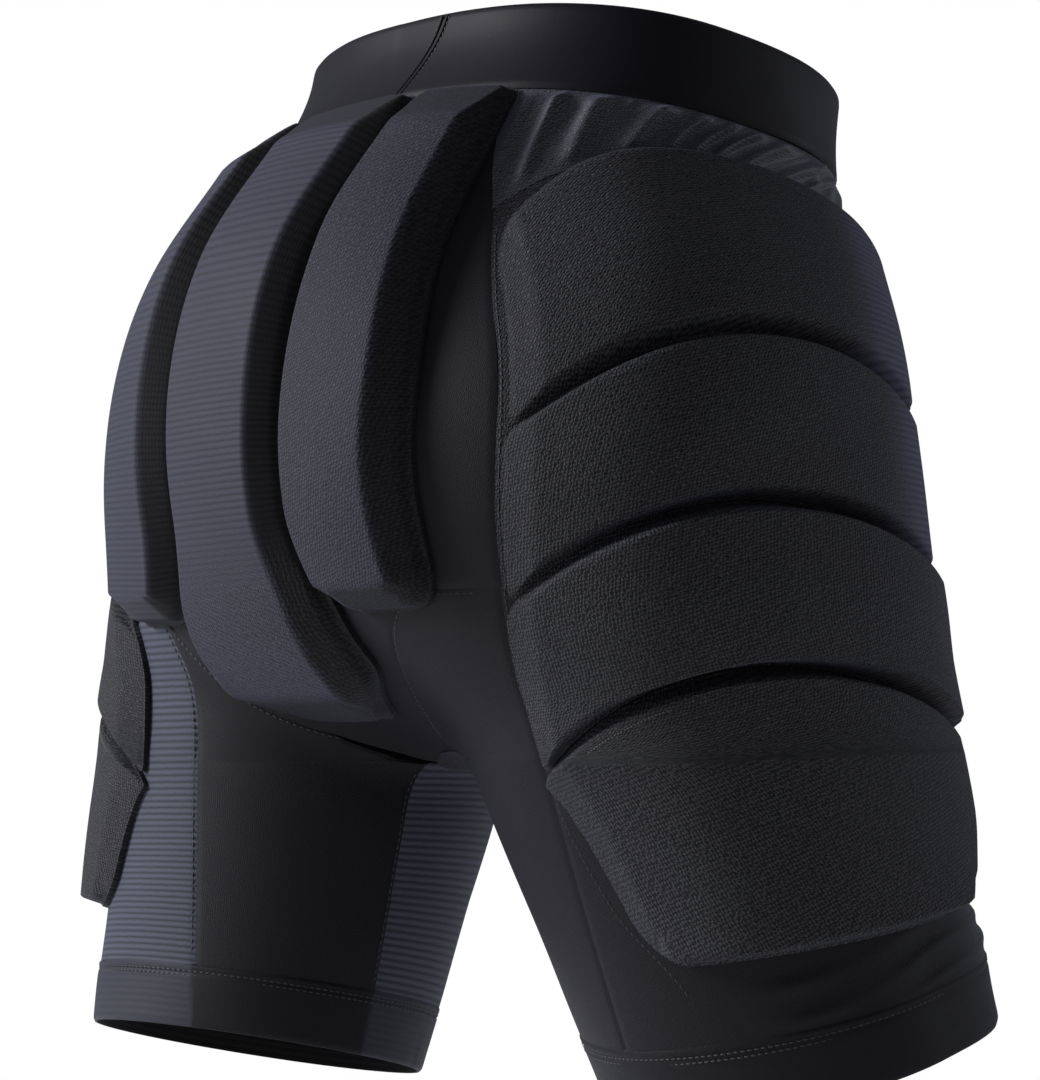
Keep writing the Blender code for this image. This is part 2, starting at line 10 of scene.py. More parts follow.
import bpy
import numpy as np
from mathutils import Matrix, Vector


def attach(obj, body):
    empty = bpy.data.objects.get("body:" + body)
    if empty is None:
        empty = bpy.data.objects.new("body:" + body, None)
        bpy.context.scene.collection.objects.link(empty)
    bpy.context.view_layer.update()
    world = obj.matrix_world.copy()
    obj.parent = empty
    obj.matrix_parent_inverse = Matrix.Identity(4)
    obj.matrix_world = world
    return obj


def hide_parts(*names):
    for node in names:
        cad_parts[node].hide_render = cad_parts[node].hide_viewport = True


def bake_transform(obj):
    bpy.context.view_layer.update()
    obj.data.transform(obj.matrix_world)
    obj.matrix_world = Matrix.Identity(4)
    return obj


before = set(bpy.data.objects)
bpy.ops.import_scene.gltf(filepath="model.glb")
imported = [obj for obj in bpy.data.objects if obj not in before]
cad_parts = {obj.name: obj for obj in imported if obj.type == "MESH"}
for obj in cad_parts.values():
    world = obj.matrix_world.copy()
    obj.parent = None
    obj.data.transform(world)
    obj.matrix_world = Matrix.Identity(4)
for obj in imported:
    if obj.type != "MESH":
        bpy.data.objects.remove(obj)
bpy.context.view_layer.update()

LEFT, RIGHT = 1, -1
SIDES = (("left", LEFT), ("right", RIGHT))

# ---- the form: drop below the waist, half width, depth behind and depth in front, in metres ----
TRUNK = (
    (-0.030, 0.127, 0.074, 0.122),
    (0.000, 0.130, 0.077, 0.119),
    (0.042, 0.138, 0.102, 0.107),
    (0.100, 0.155, 0.143, 0.100),
    (0.170, 0.171, 0.157, 0.095),
    (0.230, 0.178, 0.147, 0.094),
    (0.300, 0.174, 0.120, 0.090),
    (0.360, 0.166, 0.105, 0.081),
)
TRUNK_SQUARENESS = 2.3
SEAT_FLOOR = 0.235  # drop at which the trunk starts to round under
SEAT_FLOOR_DEPTH = 0.062
RIM_DROP = 0.001
RIM_TILT = math.radians(10.5)  # the rim is lower in front
TILT_FADE = (0.044, 0.09)  # drop at which the sections start to level out, and the drop that this takes
HIP = (0.094, 0.029, 0.185)  # out from the middle, back, and drop of each hip's axis
STRIDE = {LEFT: math.radians(-11.0), RIGHT: math.radians(17.5)}  # forward swing of each thigh at rest
SPLAY = math.radians(4.5)
THIGH_HALF_WIDTH = (0.089, 0.079)  # at the hip and at the hem
THIGH_HALF_DEPTH = (0.099, 0.072)
THIGH_TOP_DEPTH = 0.10
FULLNESS = {LEFT: 0.98, RIGHT: 1.08}  # of each thigh: the one that swings forward bulges
LEG_DROP = 0.430  # drop of the hem's edge along the thigh
FILLET = 0.035  # blends the thighs into the trunk

# ---- the garment; its parts' drops are below the waist too ----
FABRIC = 0.0012
BAND_HEIGHT = 0.041
BAND_FOOT = RIM_DROP + BAND_HEIGHT
BAND_THICKNESS = 0.0024
# of the band's join, right of the centre back, at the rim and at the band's foot
JOIN_OFFSET = (0.034, 0.020)
JOIN_WIDTH = 0.0045
JOIN_INSET = 0.002  # from the band's two edges
HEM_HEIGHT = 0.028
HEM_THICKNESS = 0.0018
LAYER_GAP = 0.0018
COVER = 0.0010
# The side line runs down the outside of the hip and thigh. Runs from it are less than 0 behind it.
SEAT_SEAM = (-0.107, -0.129)  # of the seat panel's edge, at the band and below the waist
SEAT_SEAM_EASE = 0.09  # drop over which it goes from one to the other
OUTSEAM = {LEFT: -0.160, RIGHT: -0.130}  # of the back thigh panel's outer edge
FRONT_SEAM = 0.100
INSEAM_HALF_WIDTH = 0.037  # of the inner thigh panel
GUSSET_HALF_WIDTH = 0.015
GUSSET_SPAN = (0.054, -0.018)  # back and front ends
GUSSET_SEED = 0.004  # below the crotch, where its points start before they move onto the form
UNDER_SEAT = (0.2935, 0.238, 0.030, 0.070)  # drop at the middle, drop at the sides, flat run, sloping run

# ---- the pads ----
PAD_RIM = 0.005
GROOVE = 0.0062  # between the foams of neighbouring segments
COVER_GAP = 0.0010  # between the covers of neighbouring segments
FLANGE = (GROOVE - COVER_GAP) / 2  # a cover's sewn edge, out from its foam
SEAT_PAD_THICKNESS = 0.017
TAIL_PAD_THICKNESS = 0.015
HIP_PAD_THICKNESS = (0.0125, 0.0130, 0.0160, 0.0125)  # of each segment, from the waist down
TAIL_HALF_WIDTH = 0.037
TAIL_FOOT_HALF_WIDTH = 0.050
TAIL_FLARE = (0.20, 0.05)  # drop at which the foot starts to widen, and the drop that this takes
TAIL_TIP = (0.022, 0.262, 0.022)  # the rounded tip: narrower by, from this drop, over this drop
TAIL_FOOT = 0.281
CHANNEL = 0.0105  # between the tailbone pad's foam and each seat pad's
SEAT_PAD_EDGE = 0.110  # run from the centre back
SEAT_PAD_TAPER = (0.020, 0.12)  # narrower at the band by this, over this drop
SEAT_PAD_FOOT = 0.242
HIP_EDGES = (-0.113, 0.080)
HIP_CROWN = -0.025  # run from the side line to the crown of each arched line
ARCHES = (0.066, 0.139, 0.204, 0.269)  # drops of the crowns of the hip pad's top edge and three grooves
ARCH_FALL = (4.0, 3.0)  # fall for each squared metre of run, behind the crown and before it
HIP_FOOT = 0.380
HIP_FOOT_TAPER = (0.030, 0.030)  # the last segment is narrower at its foot by this, behind and before


def smooth(x):
    x = np.clip(x, 0.0, 1.0)
    return x * x * (3.0 - 2.0 * x)


def through(stations, at):
    """A smooth curve through the stations, whose first column is the drop."""
    table = np.asarray(stations, float)
    drops = table[:, 0]
    at = np.clip(at, drops[0], drops[-1])
    k = np.clip(np.searchsorted(drops, at) - 1, 0, len(drops) - 2)
    slopes = np.gradient(table[:, 1:], drops, axis=0)
    step = (drops[k + 1] - drops[k])[..., None]
    f = (at - drops[k])[..., None] / step
    start = (2 * f**3 - 3 * f**2 + 1) * table[k, 1:] + (f**3 - 2 * f**2 + f) * step * slopes[k]
    end = (3 * f**2 - 2 * f**3) * table[k + 1, 1:] + (f**3 - f**2) * step * slopes[k + 1]
    return start + end


def between(start, end, share):
    return start + (end - start) * share


def round_distance(q, r):
    """About how far outside a section a point is, from its level q and its distance r from the middle."""
    return (q - 1.0) * (r + 1e-7) / (q + 1e-6)


def trunk_distance(p):
    x, y, z = p[..., 0], p[..., 1], p[..., 2]
    wide, behind, before = np.moveaxis(through(TRUNK, -z), -1, 0)
    deep = np.where(y > 0, behind, before)
    under = np.maximum(-z - SEAT_FLOOR, 0.0)
    n = TRUNK_SQUARENESS
    q = (np.abs(x / wide) ** n + np.abs(y / deep) ** n + (under / SEAT_FLOOR_DEPTH) ** n) ** (1 / n)
    return round_distance(q, np.sqrt(x * x + y * y + under * under))


def leg_run(side):
    """How far the thigh's axis moves for each metre of drop."""
    return np.array([side * math.tan(SPLAY), -math.tan(STRIDE[side]), -1.0])


def hip_point(side):
    return np.array([side * HIP[0], HIP[1], -HIP[2]])


def thigh_distance(p, side):
    axis = leg_run(side) / np.linalg.norm(leg_run(side))
    across = np.array([1.0, 0.0, 0.0]) - axis[0] * axis
    across = across / np.linalg.norm(across)
    rel = p - hip_point(side)
    down = rel @ axis
    f = np.clip(down / (LEG_DROP - HIP[2]), -0.6, 1.3)
    wide = between(*THIGH_HALF_WIDTH, f) * FULLNESS[side]
    deep = between(*THIGH_HALF_DEPTH, f) * FULLNESS[side]
    a = rel @ across
    b = rel @ np.cross(axis, across)
    c = np.minimum(down, 0.0)
    q = np.sqrt((a / wide) ** 2 + (b / deep) ** 2 + (c / THIGH_TOP_DEPTH) ** 2)
    return round_distance(q, np.sqrt(a * a + b * b + c * c))


def soft_min(a, b, width):
    h = np.clip(0.5 + 0.5 * (b - a) / width, 0.0, 1.0)
    return b + (a - b) * h - width * h * (1.0 - h)


def distance(p):
    """About how far each point is outside the form; less than 0 inside it."""
    thighs = soft_min(thigh_distance(p, RIGHT), thigh_distance(p, LEFT), FILLET)
    return soft_min(trunk_distance(p), thighs, FILLET)


def gradient(p):
    step = 4e-4
    return np.stack([distance(p + step * v) - distance(p - step * v) for v in np.eye(3)], -1) / (2 * step)


def onto_form(p):
    for _ in range(3):
        g = gradient(p)
        p = p - g * (distance(p) / np.maximum((g * g).sum(-1), 1e-6))[..., None]
    return p


def outward(p):
    n = gradient(p)
    return n / np.linalg.norm(n, axis=-1, keepdims=True)


class Lay:
    """Finds points of the form by run and drop. It holds one table of sections for each side."""

    ROWS_ABOVE, ROWS_BELOW, COLUMNS = 64, 36, 96
    REACH = 0.40

    def __init__(self):
        low, high = SEAT_FLOOR, LEG_DROP
        for _ in range(40):
            middle = (low + high) / 2
            low, high = (middle, high) if self.middle_line(middle)[1].min() < 0 else (low, middle)
        self.crotch = low
        across, levels = self.middle_line(low)
        self.crotch_back = across[levels.argmin()]
        above = self.crotch * (1 - (1 - np.arange(self.ROWS_ABOVE) / self.ROWS_ABOVE) ** 2)
        below = between(self.crotch + 1e-5, LEG_DROP + 0.004, np.linspace(0, 1, self.ROWS_BELOW) ** 1.6)
        self.drops = np.concatenate([[-0.01], above, below])
        self.points = {}
        self.runs = {}
        self.side_runs = {}
        for _, side in SIDES:
            sections = [self.section(side, drop) for drop in self.drops]
            rows = np.array([points for points, _ in sections])
            steps = np.linalg.norm(np.diff(rows, axis=1), axis=2)
            runs = np.concatenate([np.zeros((len(rows), 1)), np.cumsum(steps, axis=1)], axis=1)
            at_side = [np.interp(math.pi / 2, angle, run) for (_, angle), run in zip(sections, runs)]
            self.points[side] = rows
            self.runs[side] = runs
            self.side_runs[side] = np.array(at_side)

    def middle_line(self, drop):
        """Places along a level line in the mirror plane, and their distances from the form."""
        back = np.linspace(-0.20, 0.25, 1801)
        return back, distance(np.stack([0 * back, back, 0 * back - drop], -1))

    def frame(self, side, drop):
        """The centre of a section and its backward direction."""
        mix = smooth((drop - 0.08) / (self.crotch - 0.08))
        leg = hip_point(side) + leg_run(side) * (drop - HIP[2])
        centre = np.array([0.0, 0.0, -drop]) * (1 - mix) + leg * mix
        tilt = RIM_TILT * (1 - smooth((drop - TILT_FADE[0]) / TILT_FADE[1]))
        tilt = tilt - STRIDE[side] * smooth((drop - self.crotch) / (LEG_DROP - self.crotch))
        return centre, np.array([0.0, math.cos(tilt), math.sin(tilt)])

    def section(self, side, drop):
        """Points round one section, from the centre back (below the crotch, the inseam) to the front."""
        centre, back = self.frame(side, drop)
        if drop < self.crotch:
            line = np.linspace(-0.20, 0.25, 1801)
            middle = centre * np.array([0.0, 1.0, 1.0])
            inside = np.flatnonzero(distance(middle + line[:, None] * back) < 0)
            start = math.atan2(-abs(centre[0]), line[inside[-1]])
            end = math.atan2(-abs(centre[0]), line[inside[0]])
            end = end + 2 * math.pi if end < start or end < 0 else end
        else:
            start = math.atan2(-abs(centre[0]), self.crotch_back - centre[1])
            end = start + 2 * math.pi
        angle = np.linspace(start, end, self.COLUMNS + 1)
        ray = np.cos(angle)[:, None] * back + np.sin(angle)[:, None] * np.array([side, 0.0, 0.0])
        far = np.full(len(angle), self.REACH)
        inward = ray[:, 0] * side < -1e-6
        far[inward] = np.minimum(self.REACH, abs(centre[0]) / -(ray[inward, 0] * side))
        near = np.zeros(len(angle))
        for _ in range(30):
            middle = (near + far) / 2
            inside = distance(centre + middle[:, None] * ray) < 0
            near = np.where(inside, middle, near)
            far = np.where(inside, far, middle)
        return centre + near[:, None] * ray, angle

    def side_run(self, side, drop):
        """The run from the centre back to the side line at a drop."""
        return np.interp(drop, self.drops, self.side_runs[side])

    def girth(self, side, drop):
        """The whole run of one side's section at a drop."""
        return np.interp(drop, self.drops, self.runs[side][:, -1])

    def flat(self, side, run, drop):
        """Points on the form, by a run of 0 or more and a drop."""
        run, drop = np.broadcast_arrays(np.asarray(run, float), np.asarray(drop, float))
        shape = run.shape
        run, drop = run.ravel(), drop.ravel()
        found = np.zeros((len(run), 3))
        row = np.clip(np.searchsorted(self.drops, drop) - 1, 0, len(self.drops) - 2)
        share = (drop - self.drops[row]) / (self.drops[row + 1] - self.drops[row])
        columns = np.arange(self.COLUMNS + 1)
        for r in np.unique(row):
            at = row == r
            f = share[at]
            upper, lower = self.runs[side][r], self.runs[side][r + 1]
            j = (1 - f) * np.interp(run[at], upper, columns) + f * np.interp(run[at], lower, columns)
            i = np.clip(j.astype(int), 0, self.COLUMNS - 1)
            g = (j - i)[:, None]
            top = self.points[side][r][i] * (1 - g) + self.points[side][r][i + 1] * g
            foot = self.points[side][r + 1][i] * (1 - g) + self.points[side][r + 1][i + 1] * g
            found[at] = top * (1 - f[:, None]) + foot * f[:, None]
        return onto_form(found).reshape(shape + (3,))

    def place(self, side, run, drop):
        """Points on the form. On a side of 0 the run is signed, less than 0 on the right."""
        run = np.asarray(run, float)
        if side == 0:
            left = self.flat(LEFT, np.maximum(run, 0), drop)
            right = self.flat(RIGHT, np.maximum(-run, 0), drop)
            return np.where((run >= 0)[..., None], left, right)
        return self.flat(side, np.where(run < 0, run + self.girth(side, drop), run), drop)


def under_seat(run):
    """Drop of the seam under the seat."""
    middle, sides, flat, slope = UNDER_SEAT
    return between(middle, sides, smooth((np.abs(run) - flat) / slope))


def seat_seam(drop):
    """Run from the side line to the seat panel's edge."""
    top, below = SEAT_SEAM
    return between(top, below, smooth((drop - BAND_FOOT) / SEAT_SEAM_EASE))


def arch(run, crown):
    """Drop of one of the hip pad's arched lines, at a run from the side line."""
    fall = np.where(run < HIP_CROWN, ARCH_FALL[0], ARCH_FALL[1])
    return crown + fall * (run - HIP_CROWN) ** 2


def tail_edge(drop):
    """Half width of the tailbone pad at a drop, before its tip is rounded."""
    start, length = TAIL_FLARE
    return between(TAIL_HALF_WIDTH, TAIL_FOOT_HALF_WIDTH, smooth((drop - start) / length))


# ---- the visual garment's own sizes ----
RIB = 0.0030  # pitch of the ribbed knit
SHOULDER = 0.0010  # rounds the edge between a pad's face and its chamfer
CORNER = 0.014  # rounds a seat pad's lower corners, seen from above
TOP_CORNER = 0.004
SEAT_TOP = BAND_FOOT + 0.0035  # the cushions reach up to the band's seam
# the hip cushions' back edge spreads past the foam, on the first and last segment
HIP_BACK_EASE = (0.009, 0.016)
SEEN_GROOVE = 0.0030
LOW_BACK = 0.62  # share of a hip cushion's thickness that its back edge lacks
LOW_BACK_REACH = 0.065  # over which it rises to its full thickness
PLAIN = {"tone": 1.0, "rib": 0.0}
RIBBED = {"tone": 1.0, "rib": 1.0}
HEM_FLARE = 0.006  # the right hem stands off in front, where the thigh swings forward
SEAM_DIP = 0.0006
LIFT_EPS = 0.0002
AMBIENT = 0.24  # of the studio's soft light, which the camera sees as white
LAY = Lay()


# ---- points and directions ----
def spots(side, run, drop):
    """Points on the form and their outward directions. On a side of 0 the run is signed."""
    p = LAY.place(side, run, drop)
    return p, outward(p)


def lines(count):
    return np.linspace(0.0, 1.0, count + 1)


def ripple(u, v, size=0.0004):
    """The slight unevenness of fabric on a body."""
    wave = np.sin(u * 61 + 2.1 * np.sin(v * 37)) + np.sin(v * 83 + 1.7 * np.sin(u * 47 + 1.0))
    return size * 0.5 * wave


# ---- meshes ----
def make_mesh(name, points, faces, look, uv=None, values=None, sharp=50.0):
    mesh = bpy.data.meshes.new(name)
    mesh.from_pydata(points.tolist(), [], faces.tolist() if hasattr(faces, "tolist") else faces)
    mesh.update()
    if uv is not None:
        layer = mesh.uv_layers.new(name="cloth")
        corner = np.empty(len(mesh.loops), np.int32)
        mesh.loops.foreach_get("vertex_index", corner)
        layer.data.foreach_set("uv", uv[corner].astype(np.float32).ravel())
    for key, value in (values or {}).items():
        attribute = mesh.attributes.new(key, "FLOAT", "POINT")
        attribute.data.foreach_set("value", value.astype(np.float32))
    mesh.shade_smooth()
    mesh.set_sharp_from_angle(angle=math.radians(sharp))
    mesh.materials.append(look)
    made = bpy.data.objects.new(name, mesh)
    bpy.context.scene.collection.objects.link(made)
    return made


def grid_faces(rows, columns, ring):
    number = np.arange(rows * columns).reshape(rows, columns)
    if ring:
        number = np.concatenate([number, number[:, :1]], axis=1)
    quads = np.stack([number[:-1, :-1], number[:-1, 1:], number[1:, 1:], number[1:, :-1]], -1)
    return number, quads.reshape(-1, 4)


def shell(name, inner, outer, look, uv, values=None, ring=False, out=None, sharp=50.0):
    """A closed thin body between two grids of points. The uv is in metres of cloth."""
    rows, columns = outer.shape[:2]
    number, front = grid_faces(rows, columns, ring)
    below = number + rows * columns
    back = front[:, ::-1] + rows * columns
    rims = [(number[0], below[0]), (number[-1][::-1], below[-1][::-1])]
    if not ring:
        rims += [(number[::-1, 0], below[::-1, 0]), (number[:, -1], below[:, -1])]
    sides = [np.stack([top[:-1], foot[:-1], foot[1:], top[1:]], -1) for top, foot in rims]
    faces = np.concatenate([front, back, *sides])
    i, j = rows // 2, columns // 2
    turned = np.cross(outer[i, j + 1] - outer[i, j], outer[i + 1, j] - outer[i, j])
    if turned @ (outer[i, j] - inner[i, j] if out is None else out[i, j]) < 0:
        faces = faces[:, ::-1]
    points = np.concatenate([outer.reshape(-1, 3), inner.reshape(-1, 3)])
    uv = np.stack(np.broadcast_arrays(*uv), -1).reshape(-1, 2)
    uv = np.concatenate([uv, uv])
    outside = np.concatenate([np.ones(rows * columns), np.zeros(rows * columns)])
    flat = {"outside": outside}
    for key, value in (values or {}).items():
        value = np.broadcast_to(value, (rows, columns)).ravel()
        flat[key] = np.concatenate([value, value])
    return make_mesh(name, points, faces, look, uv, flat, sharp)


def cloth(name, side, run, drop, lift, look, values=None, thick=FABRIC, ring=False, uv=None):
    """A panel of fabric laid on the form, at a lift."""
    run, drop, lift = np.broadcast_arrays(run, drop, lift)
    p, n = spots(side, run, drop)
    inner = p + n * np.maximum(lift - thick, 0.0)[..., None]
    outer = p + n * lift[..., None]
    return shell(name, inner, outer, look, uv or (run, drop), values, ring, n)


def turn_with(obj, side):
    """On a side of 0, rides the pelvis; on a side of 1 or -1, its placement is baked into its mesh."""
    if side == 0:
        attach(obj, "pelvis")
        return
    f"{side_name(side)}_thigh"
    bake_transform(obj)


def side_name(side):
    return "left" if side == LEFT else "right"


def sew_in(obj, side, node, slot, width, length, held="stretched", stretch=(1.10, 1.04)):
    """Hides the node that the piece stands for, and turns the piece with its side. The flat cut and the
    stretch are not used.
    """
    turn_with(obj, side)
    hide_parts(node)


# ---- materials ----
class Shader:
    """Adds nodes to one material, each output a socket."""

    def __init__(self, name):
        self.material = bpy.data.materials.new(name)
        self.material.use_nodes = True
        self.tree = self.material.node_tree
        self.principled = self.tree.nodes["Principled BSDF"]

    def put(self, target, value):
        if isinstance(value, bpy.types.NodeSocket):
            self.tree.links.new(value, target)
        else:
            target.default_value = value

    def node(self, kind, **inputs):
        made = self.tree.nodes.new(kind)
        for key, value in inputs.items():
            self.put(made.inputs[key], value)
        return made

    def maths(self, operation, a, b=0.0, clamp=False):
        made = self.tree.nodes.new("ShaderNodeMath")
        made.operation = operation
        made.use_clamp = clamp
        self.put(made.inputs[0], a)
        self.put(made.inputs[1], b)
        return made.outputs[0]

    def plus(self, a, b, clamp=False):
        return self.maths("ADD", a, b, clamp)

    def minus(self, a, b):
        return self.maths("SUBTRACT", a, b)

    def times(self, a, b):
        return self.maths("MULTIPLY", a, b)

    def scaled(self, colour, factor):
        made = self.node("ShaderNodeVectorMath", Vector=colour)
        made.operation = "SCALE"
        self.put(made.inputs["Scale"], factor)
        return made.outputs[0]

    def surface(self, key, value):
        self.put(self.principled.inputs[key], value)

    def relief(self, height, strength, depth):
        made = self.node("ShaderNodeBump", Height=height, Strength=strength, Distance=depth)
        self.surface("Normal", made.outputs[0])

    def value(self, key):
        made = self.tree.nodes.new("ShaderNodeAttribute")
        made.attribute_name = key
        return made.outputs["Fac"]

    def cloth(self):
        """The place in the cloth, in metres: across and down."""
        made = self.tree.nodes.new("ShaderNodeUVMap")
        made.uv_map = "cloth"
        parts = self.node("ShaderNodeSeparateXYZ", Vector=made.outputs[0])
        return made.outputs[0], parts.outputs[0], parts.outputs[1]

    def noise(self, place, scale, detail=2.0, roughness=0.5):
        made = self.node("ShaderNodeTexNoise", Vector=place, Scale=scale, Detail=detail, Roughness=roughness)
        return made.outputs["Fac"]

    def blend(self, share, a, b):
        """A colour between two, by a share."""
        made = self.tree.nodes.new("ShaderNodeMix")
        made.data_type = "RGBA"
        self.put(made.inputs[0], share)
        self.put(made.inputs[6], a)
        self.put(made.inputs[7], b)
        return made.outputs[2]

    def between(self, share, a, b):
        """A number between two, by a share."""
        made = self.tree.nodes.new("ShaderNodeMix")
        self.put(made.inputs[0], share)
        self.put(made.inputs[2], a)
        self.put(made.inputs[3], b)
        return made.outputs[0]

    def swing(self, place, pitch):
        """-1 to 1 and back, once each pitch."""
        return self.maths("COSINE", self.times(place, 2 * math.pi / pitch))

    def wave(self, place, pitch):
        """0 to 1 and back, once each pitch."""
        return self.plus(self.times(self.swing(place, pitch), 0.5), 0.5)


def rgba(colour):
    return (*colour, 1.0)


def fabric_look(name, face, wall, deep=0.75, weave=0.0016, rough=0.72, sheen=0.05, tint=(0.5, 0.52, 0.8),
                rib_deep=0.45, relief=0.5, specular=0.20, rib=RIB):
    """A knit or woven fabric. The mesh's values choose its tone, and ribs or weave."""
    s = Shader(name)
    place, across, down = s.cloth()
    sway = s.times(s.minus(s.noise(place, 420.0), 0.5), 0.0012)
    u = s.plus(across, sway)
    v = s.plus(down, s.times(s.minus(s.noise(place, 260.0), 0.5), 0.0006))
    uneven = s.times(s.minus(s.noise(place, 640.0, 1.0), 0.5), 1.5 * weave)
    # ribs run across, broad with a narrow dark groove between them
    ribs = s.maths("POWER", s.wave(v, rib), 0.65)
    threads = s.wave(u, rib / 3.1)
    rib_height = s.plus(s.times(ribs, 0.86), s.times(threads, 0.14))
    # the weave is short slanted floats, each row offset from the next
    beside = s.times(s.plus(u, v), math.sqrt(0.5))
    along = s.times(s.minus(u, v), math.sqrt(0.5))
    beside = s.plus(beside, uneven)
    floats = s.times(s.swing(beside, weave), s.swing(along, weave * 1.7))
    weave_height = s.plus(s.times(floats, 0.85), 0.42, clamp=True)
    ribbed = s.value("rib")
    height = s.between(ribbed, weave_height, rib_height)
    # colour
    patches = s.noise(place, 26.0, 3.0)
    fuzz = s.noise(place, 1100.0, 1.0)
    depth = s.between(ribbed, deep, rib_deep)
    dark = s.minus(1.0, s.times(depth, s.minus(1.0, height)))
    dark = s.times(dark, s.plus(s.times(patches, 0.30), 0.85))
    dark = s.times(dark, s.plus(s.times(fuzz, 0.50), 0.75))
    colour = s.blend(s.value("tone"), rgba(wall), rgba(face))
    # The inner faces take a quarter of the wall colour.
    inside_darker = rgba([0.25 * c for c in wall])
    s.surface("Base Color", s.blend(s.value("outside"), inside_darker, s.scaled(colour, dark)))
    s.surface("Roughness", s.plus(s.times(patches, 0.14), rough - 0.07))
    s.surface("Specular IOR Level", specular)
    s.surface("Sheen Weight", sheen)
    s.surface("Sheen Roughness", 0.45)
    s.surface("Sheen Tint", rgba(tint))
    s.relief(height, relief, 0.0006)
    return s.material


def thread_look(name, colour):
    s = Shader(name)
    across, down = s.cloth()[1:]
    twist = s.wave(s.plus(across, s.times(down, 0.8)), 0.0005)
    shade = s.plus(s.times(twist, 0.5), 0.6)
    s.surface("Base Color", s.scaled(colour, shade))
    s.surface("Roughness", 0.55)
    s.relief(twist, 0.5, 0.0001)
    return s.material


NAVY = (0.025, 0.025, 0.039)
DARK = (0.0110, 0.0108, 0.0122)
CREPE_LOOK = fabric_look(
    "crepe", (0.030, 0.030, 0.034), (0.016, 0.016, 0.018), deep=0.95, weave=0.0015, relief=0.7,
)
PAD_LOOK = fabric_look(
    "pad_mesh", NAVY, DARK, deep=0.85, sheen=0.08, rib_deep=0.55, relief=0.4, rib=0.0025,
)
RIB_LOOK = fabric_look(
    "ribbed_mesh", (0.050, 0.052, 0.074), DARK, sheen=0.08, rib_deep=0.72, relief=0.5,
)
KNIT_LOOK = fabric_look(
    "smooth_knit", (0.0080, 0.0077, 0.0103), (0.006, 0.006, 0.008), deep=0.35, weave=0.0010,
    sheen=0.03, relief=0.25, rough=0.6, specular=0.14,
)
YOKE_LOOK = fabric_look(
    "thin_knit", (0.0580, 0.0580, 0.0720), (0.008, 0.008, 0.010), deep=0.80, weave=0.0014, sheen=0.16,
    relief=0.3, rough=0.5, specular=0.26,
)
BAND_LOOK = fabric_look(
    "elastic", (0.0032, 0.0030, 0.0054), (0.003, 0.003, 0.005), deep=0.15, weave=0.0009, sheen=0.03,
    relief=0.08, rough=0.55, specular=0.12,
)
HEM_LOOK = fabric_look(
    "hem_knit", (0.027, 0.028, 0.038), (0.0050, 0.0048, 0.0064), deep=0.30, weave=0.0009, sheen=0.05,
    relief=0.25, rough=0.62, specular=0.14,
)
# The right outer thigh's look: its near-black wall colour is painted shade, a shaded copy of the left thigh's
# navy ribbed panel; its navy face toward the front is the panel's own colour.
SHADED_THIGH_LOOK = fabric_look(
    "thigh_with_painted_shade", (0.032, 0.033, 0.048), (0.0062, 0.0060, 0.0078), deep=0.35, weave=0.0010, relief=0.3,
    rough=0.6, specular=0.14, rib_deep=0.55, rib=0.0027,
)
# The hip pads' look: toward the front its navy face is partly the ribbed front fabric and partly painted
# highlight, brightened to stand for the light from the front right.
HIP_LOOK = fabric_look(
    "hip_crepe_front_highlight", (0.056, 0.056, 0.095), (0.033, 0.033, 0.037), deep=0.95, weave=0.0015, relief=0.7,
    rib_deep=0.60, rib=0.0027,
)
THREAD = thread_look("thread", (0.010, 0.010, 0.012))
# Thread for the stitch rows on the hip segments' upper rims: its paleness is painted highlight, where the
# light catches those rims.
HIGHLIGHT_THREAD = thread_look("thread_painted_highlight", (0.09, 0.09, 0.10))


# ---- seams ----
def seam_lift(base, *distances):
    """The fabric dips where it is sewn to its neighbour."""
    near = np.minimum.reduce(distances)
    return base - SEAM_DIP * np.exp(-((near / 0.0016) ** 2))


def stitches(name, side, run, drop, lift, look, pitch=0.0032, length=0.0021, width=0.00036, height=0.00022):
    """A row of stitches along a line of runs and drops."""
    run, drop, lift = (np.asarray(a, float) for a in np.broadcast_arrays(run, drop, lift))
    p, n = spots(side, run, drop)
    p = p + n * lift[:, None]
    far = np.concatenate([[0.0], np.cumsum(np.linalg.norm(np.diff(p, axis=0), axis=1))])
    middle = np.arange(pitch / 2, far[-1], pitch)

    def at(table, place):
        return np.stack([np.interp(place, far, table[:, k]) for k in range(3)], -1)

    around = np.linspace(0, math.pi, 5)
    bars = ((-0.5, 0.25), (-0.36, 0.85), (0.0, 1.0), (0.36, 0.85), (0.5, 0.25))
    rings = []
    for share, swell in bars:
        centre = at(p, middle + share * length)
        up = at(n, middle)
        along = at(p, middle + 0.5 * length) - at(p, middle - 0.5 * length)
        beside = np.cross(along, up)
        beside /= np.linalg.norm(beside, axis=1, keepdims=True)
        ring = []
        for t in around:
            rise = height * (swell * math.sin(t) * 1.4 - 0.3)
            ring.append(centre + beside * (width * swell * math.cos(t)) + up * rise)
        rings.append(np.stack(ring, 1))
    body = np.stack(rings, 1)
    count, rows, columns = body.shape[:3]
    quads = grid_faces(rows, columns, False)[1]
    faces = (quads[None] + (np.arange(count) * rows * columns)[:, None, None]).reshape(-1, 4)
    uv = np.stack(np.meshgrid(np.arange(columns) * width, np.arange(rows) * length / 4), -1).reshape(-1, 2)
    return make_mesh(name, body.reshape(-1, 3), faces, look, np.tile(uv, (count, 1)), sharp=80.0)


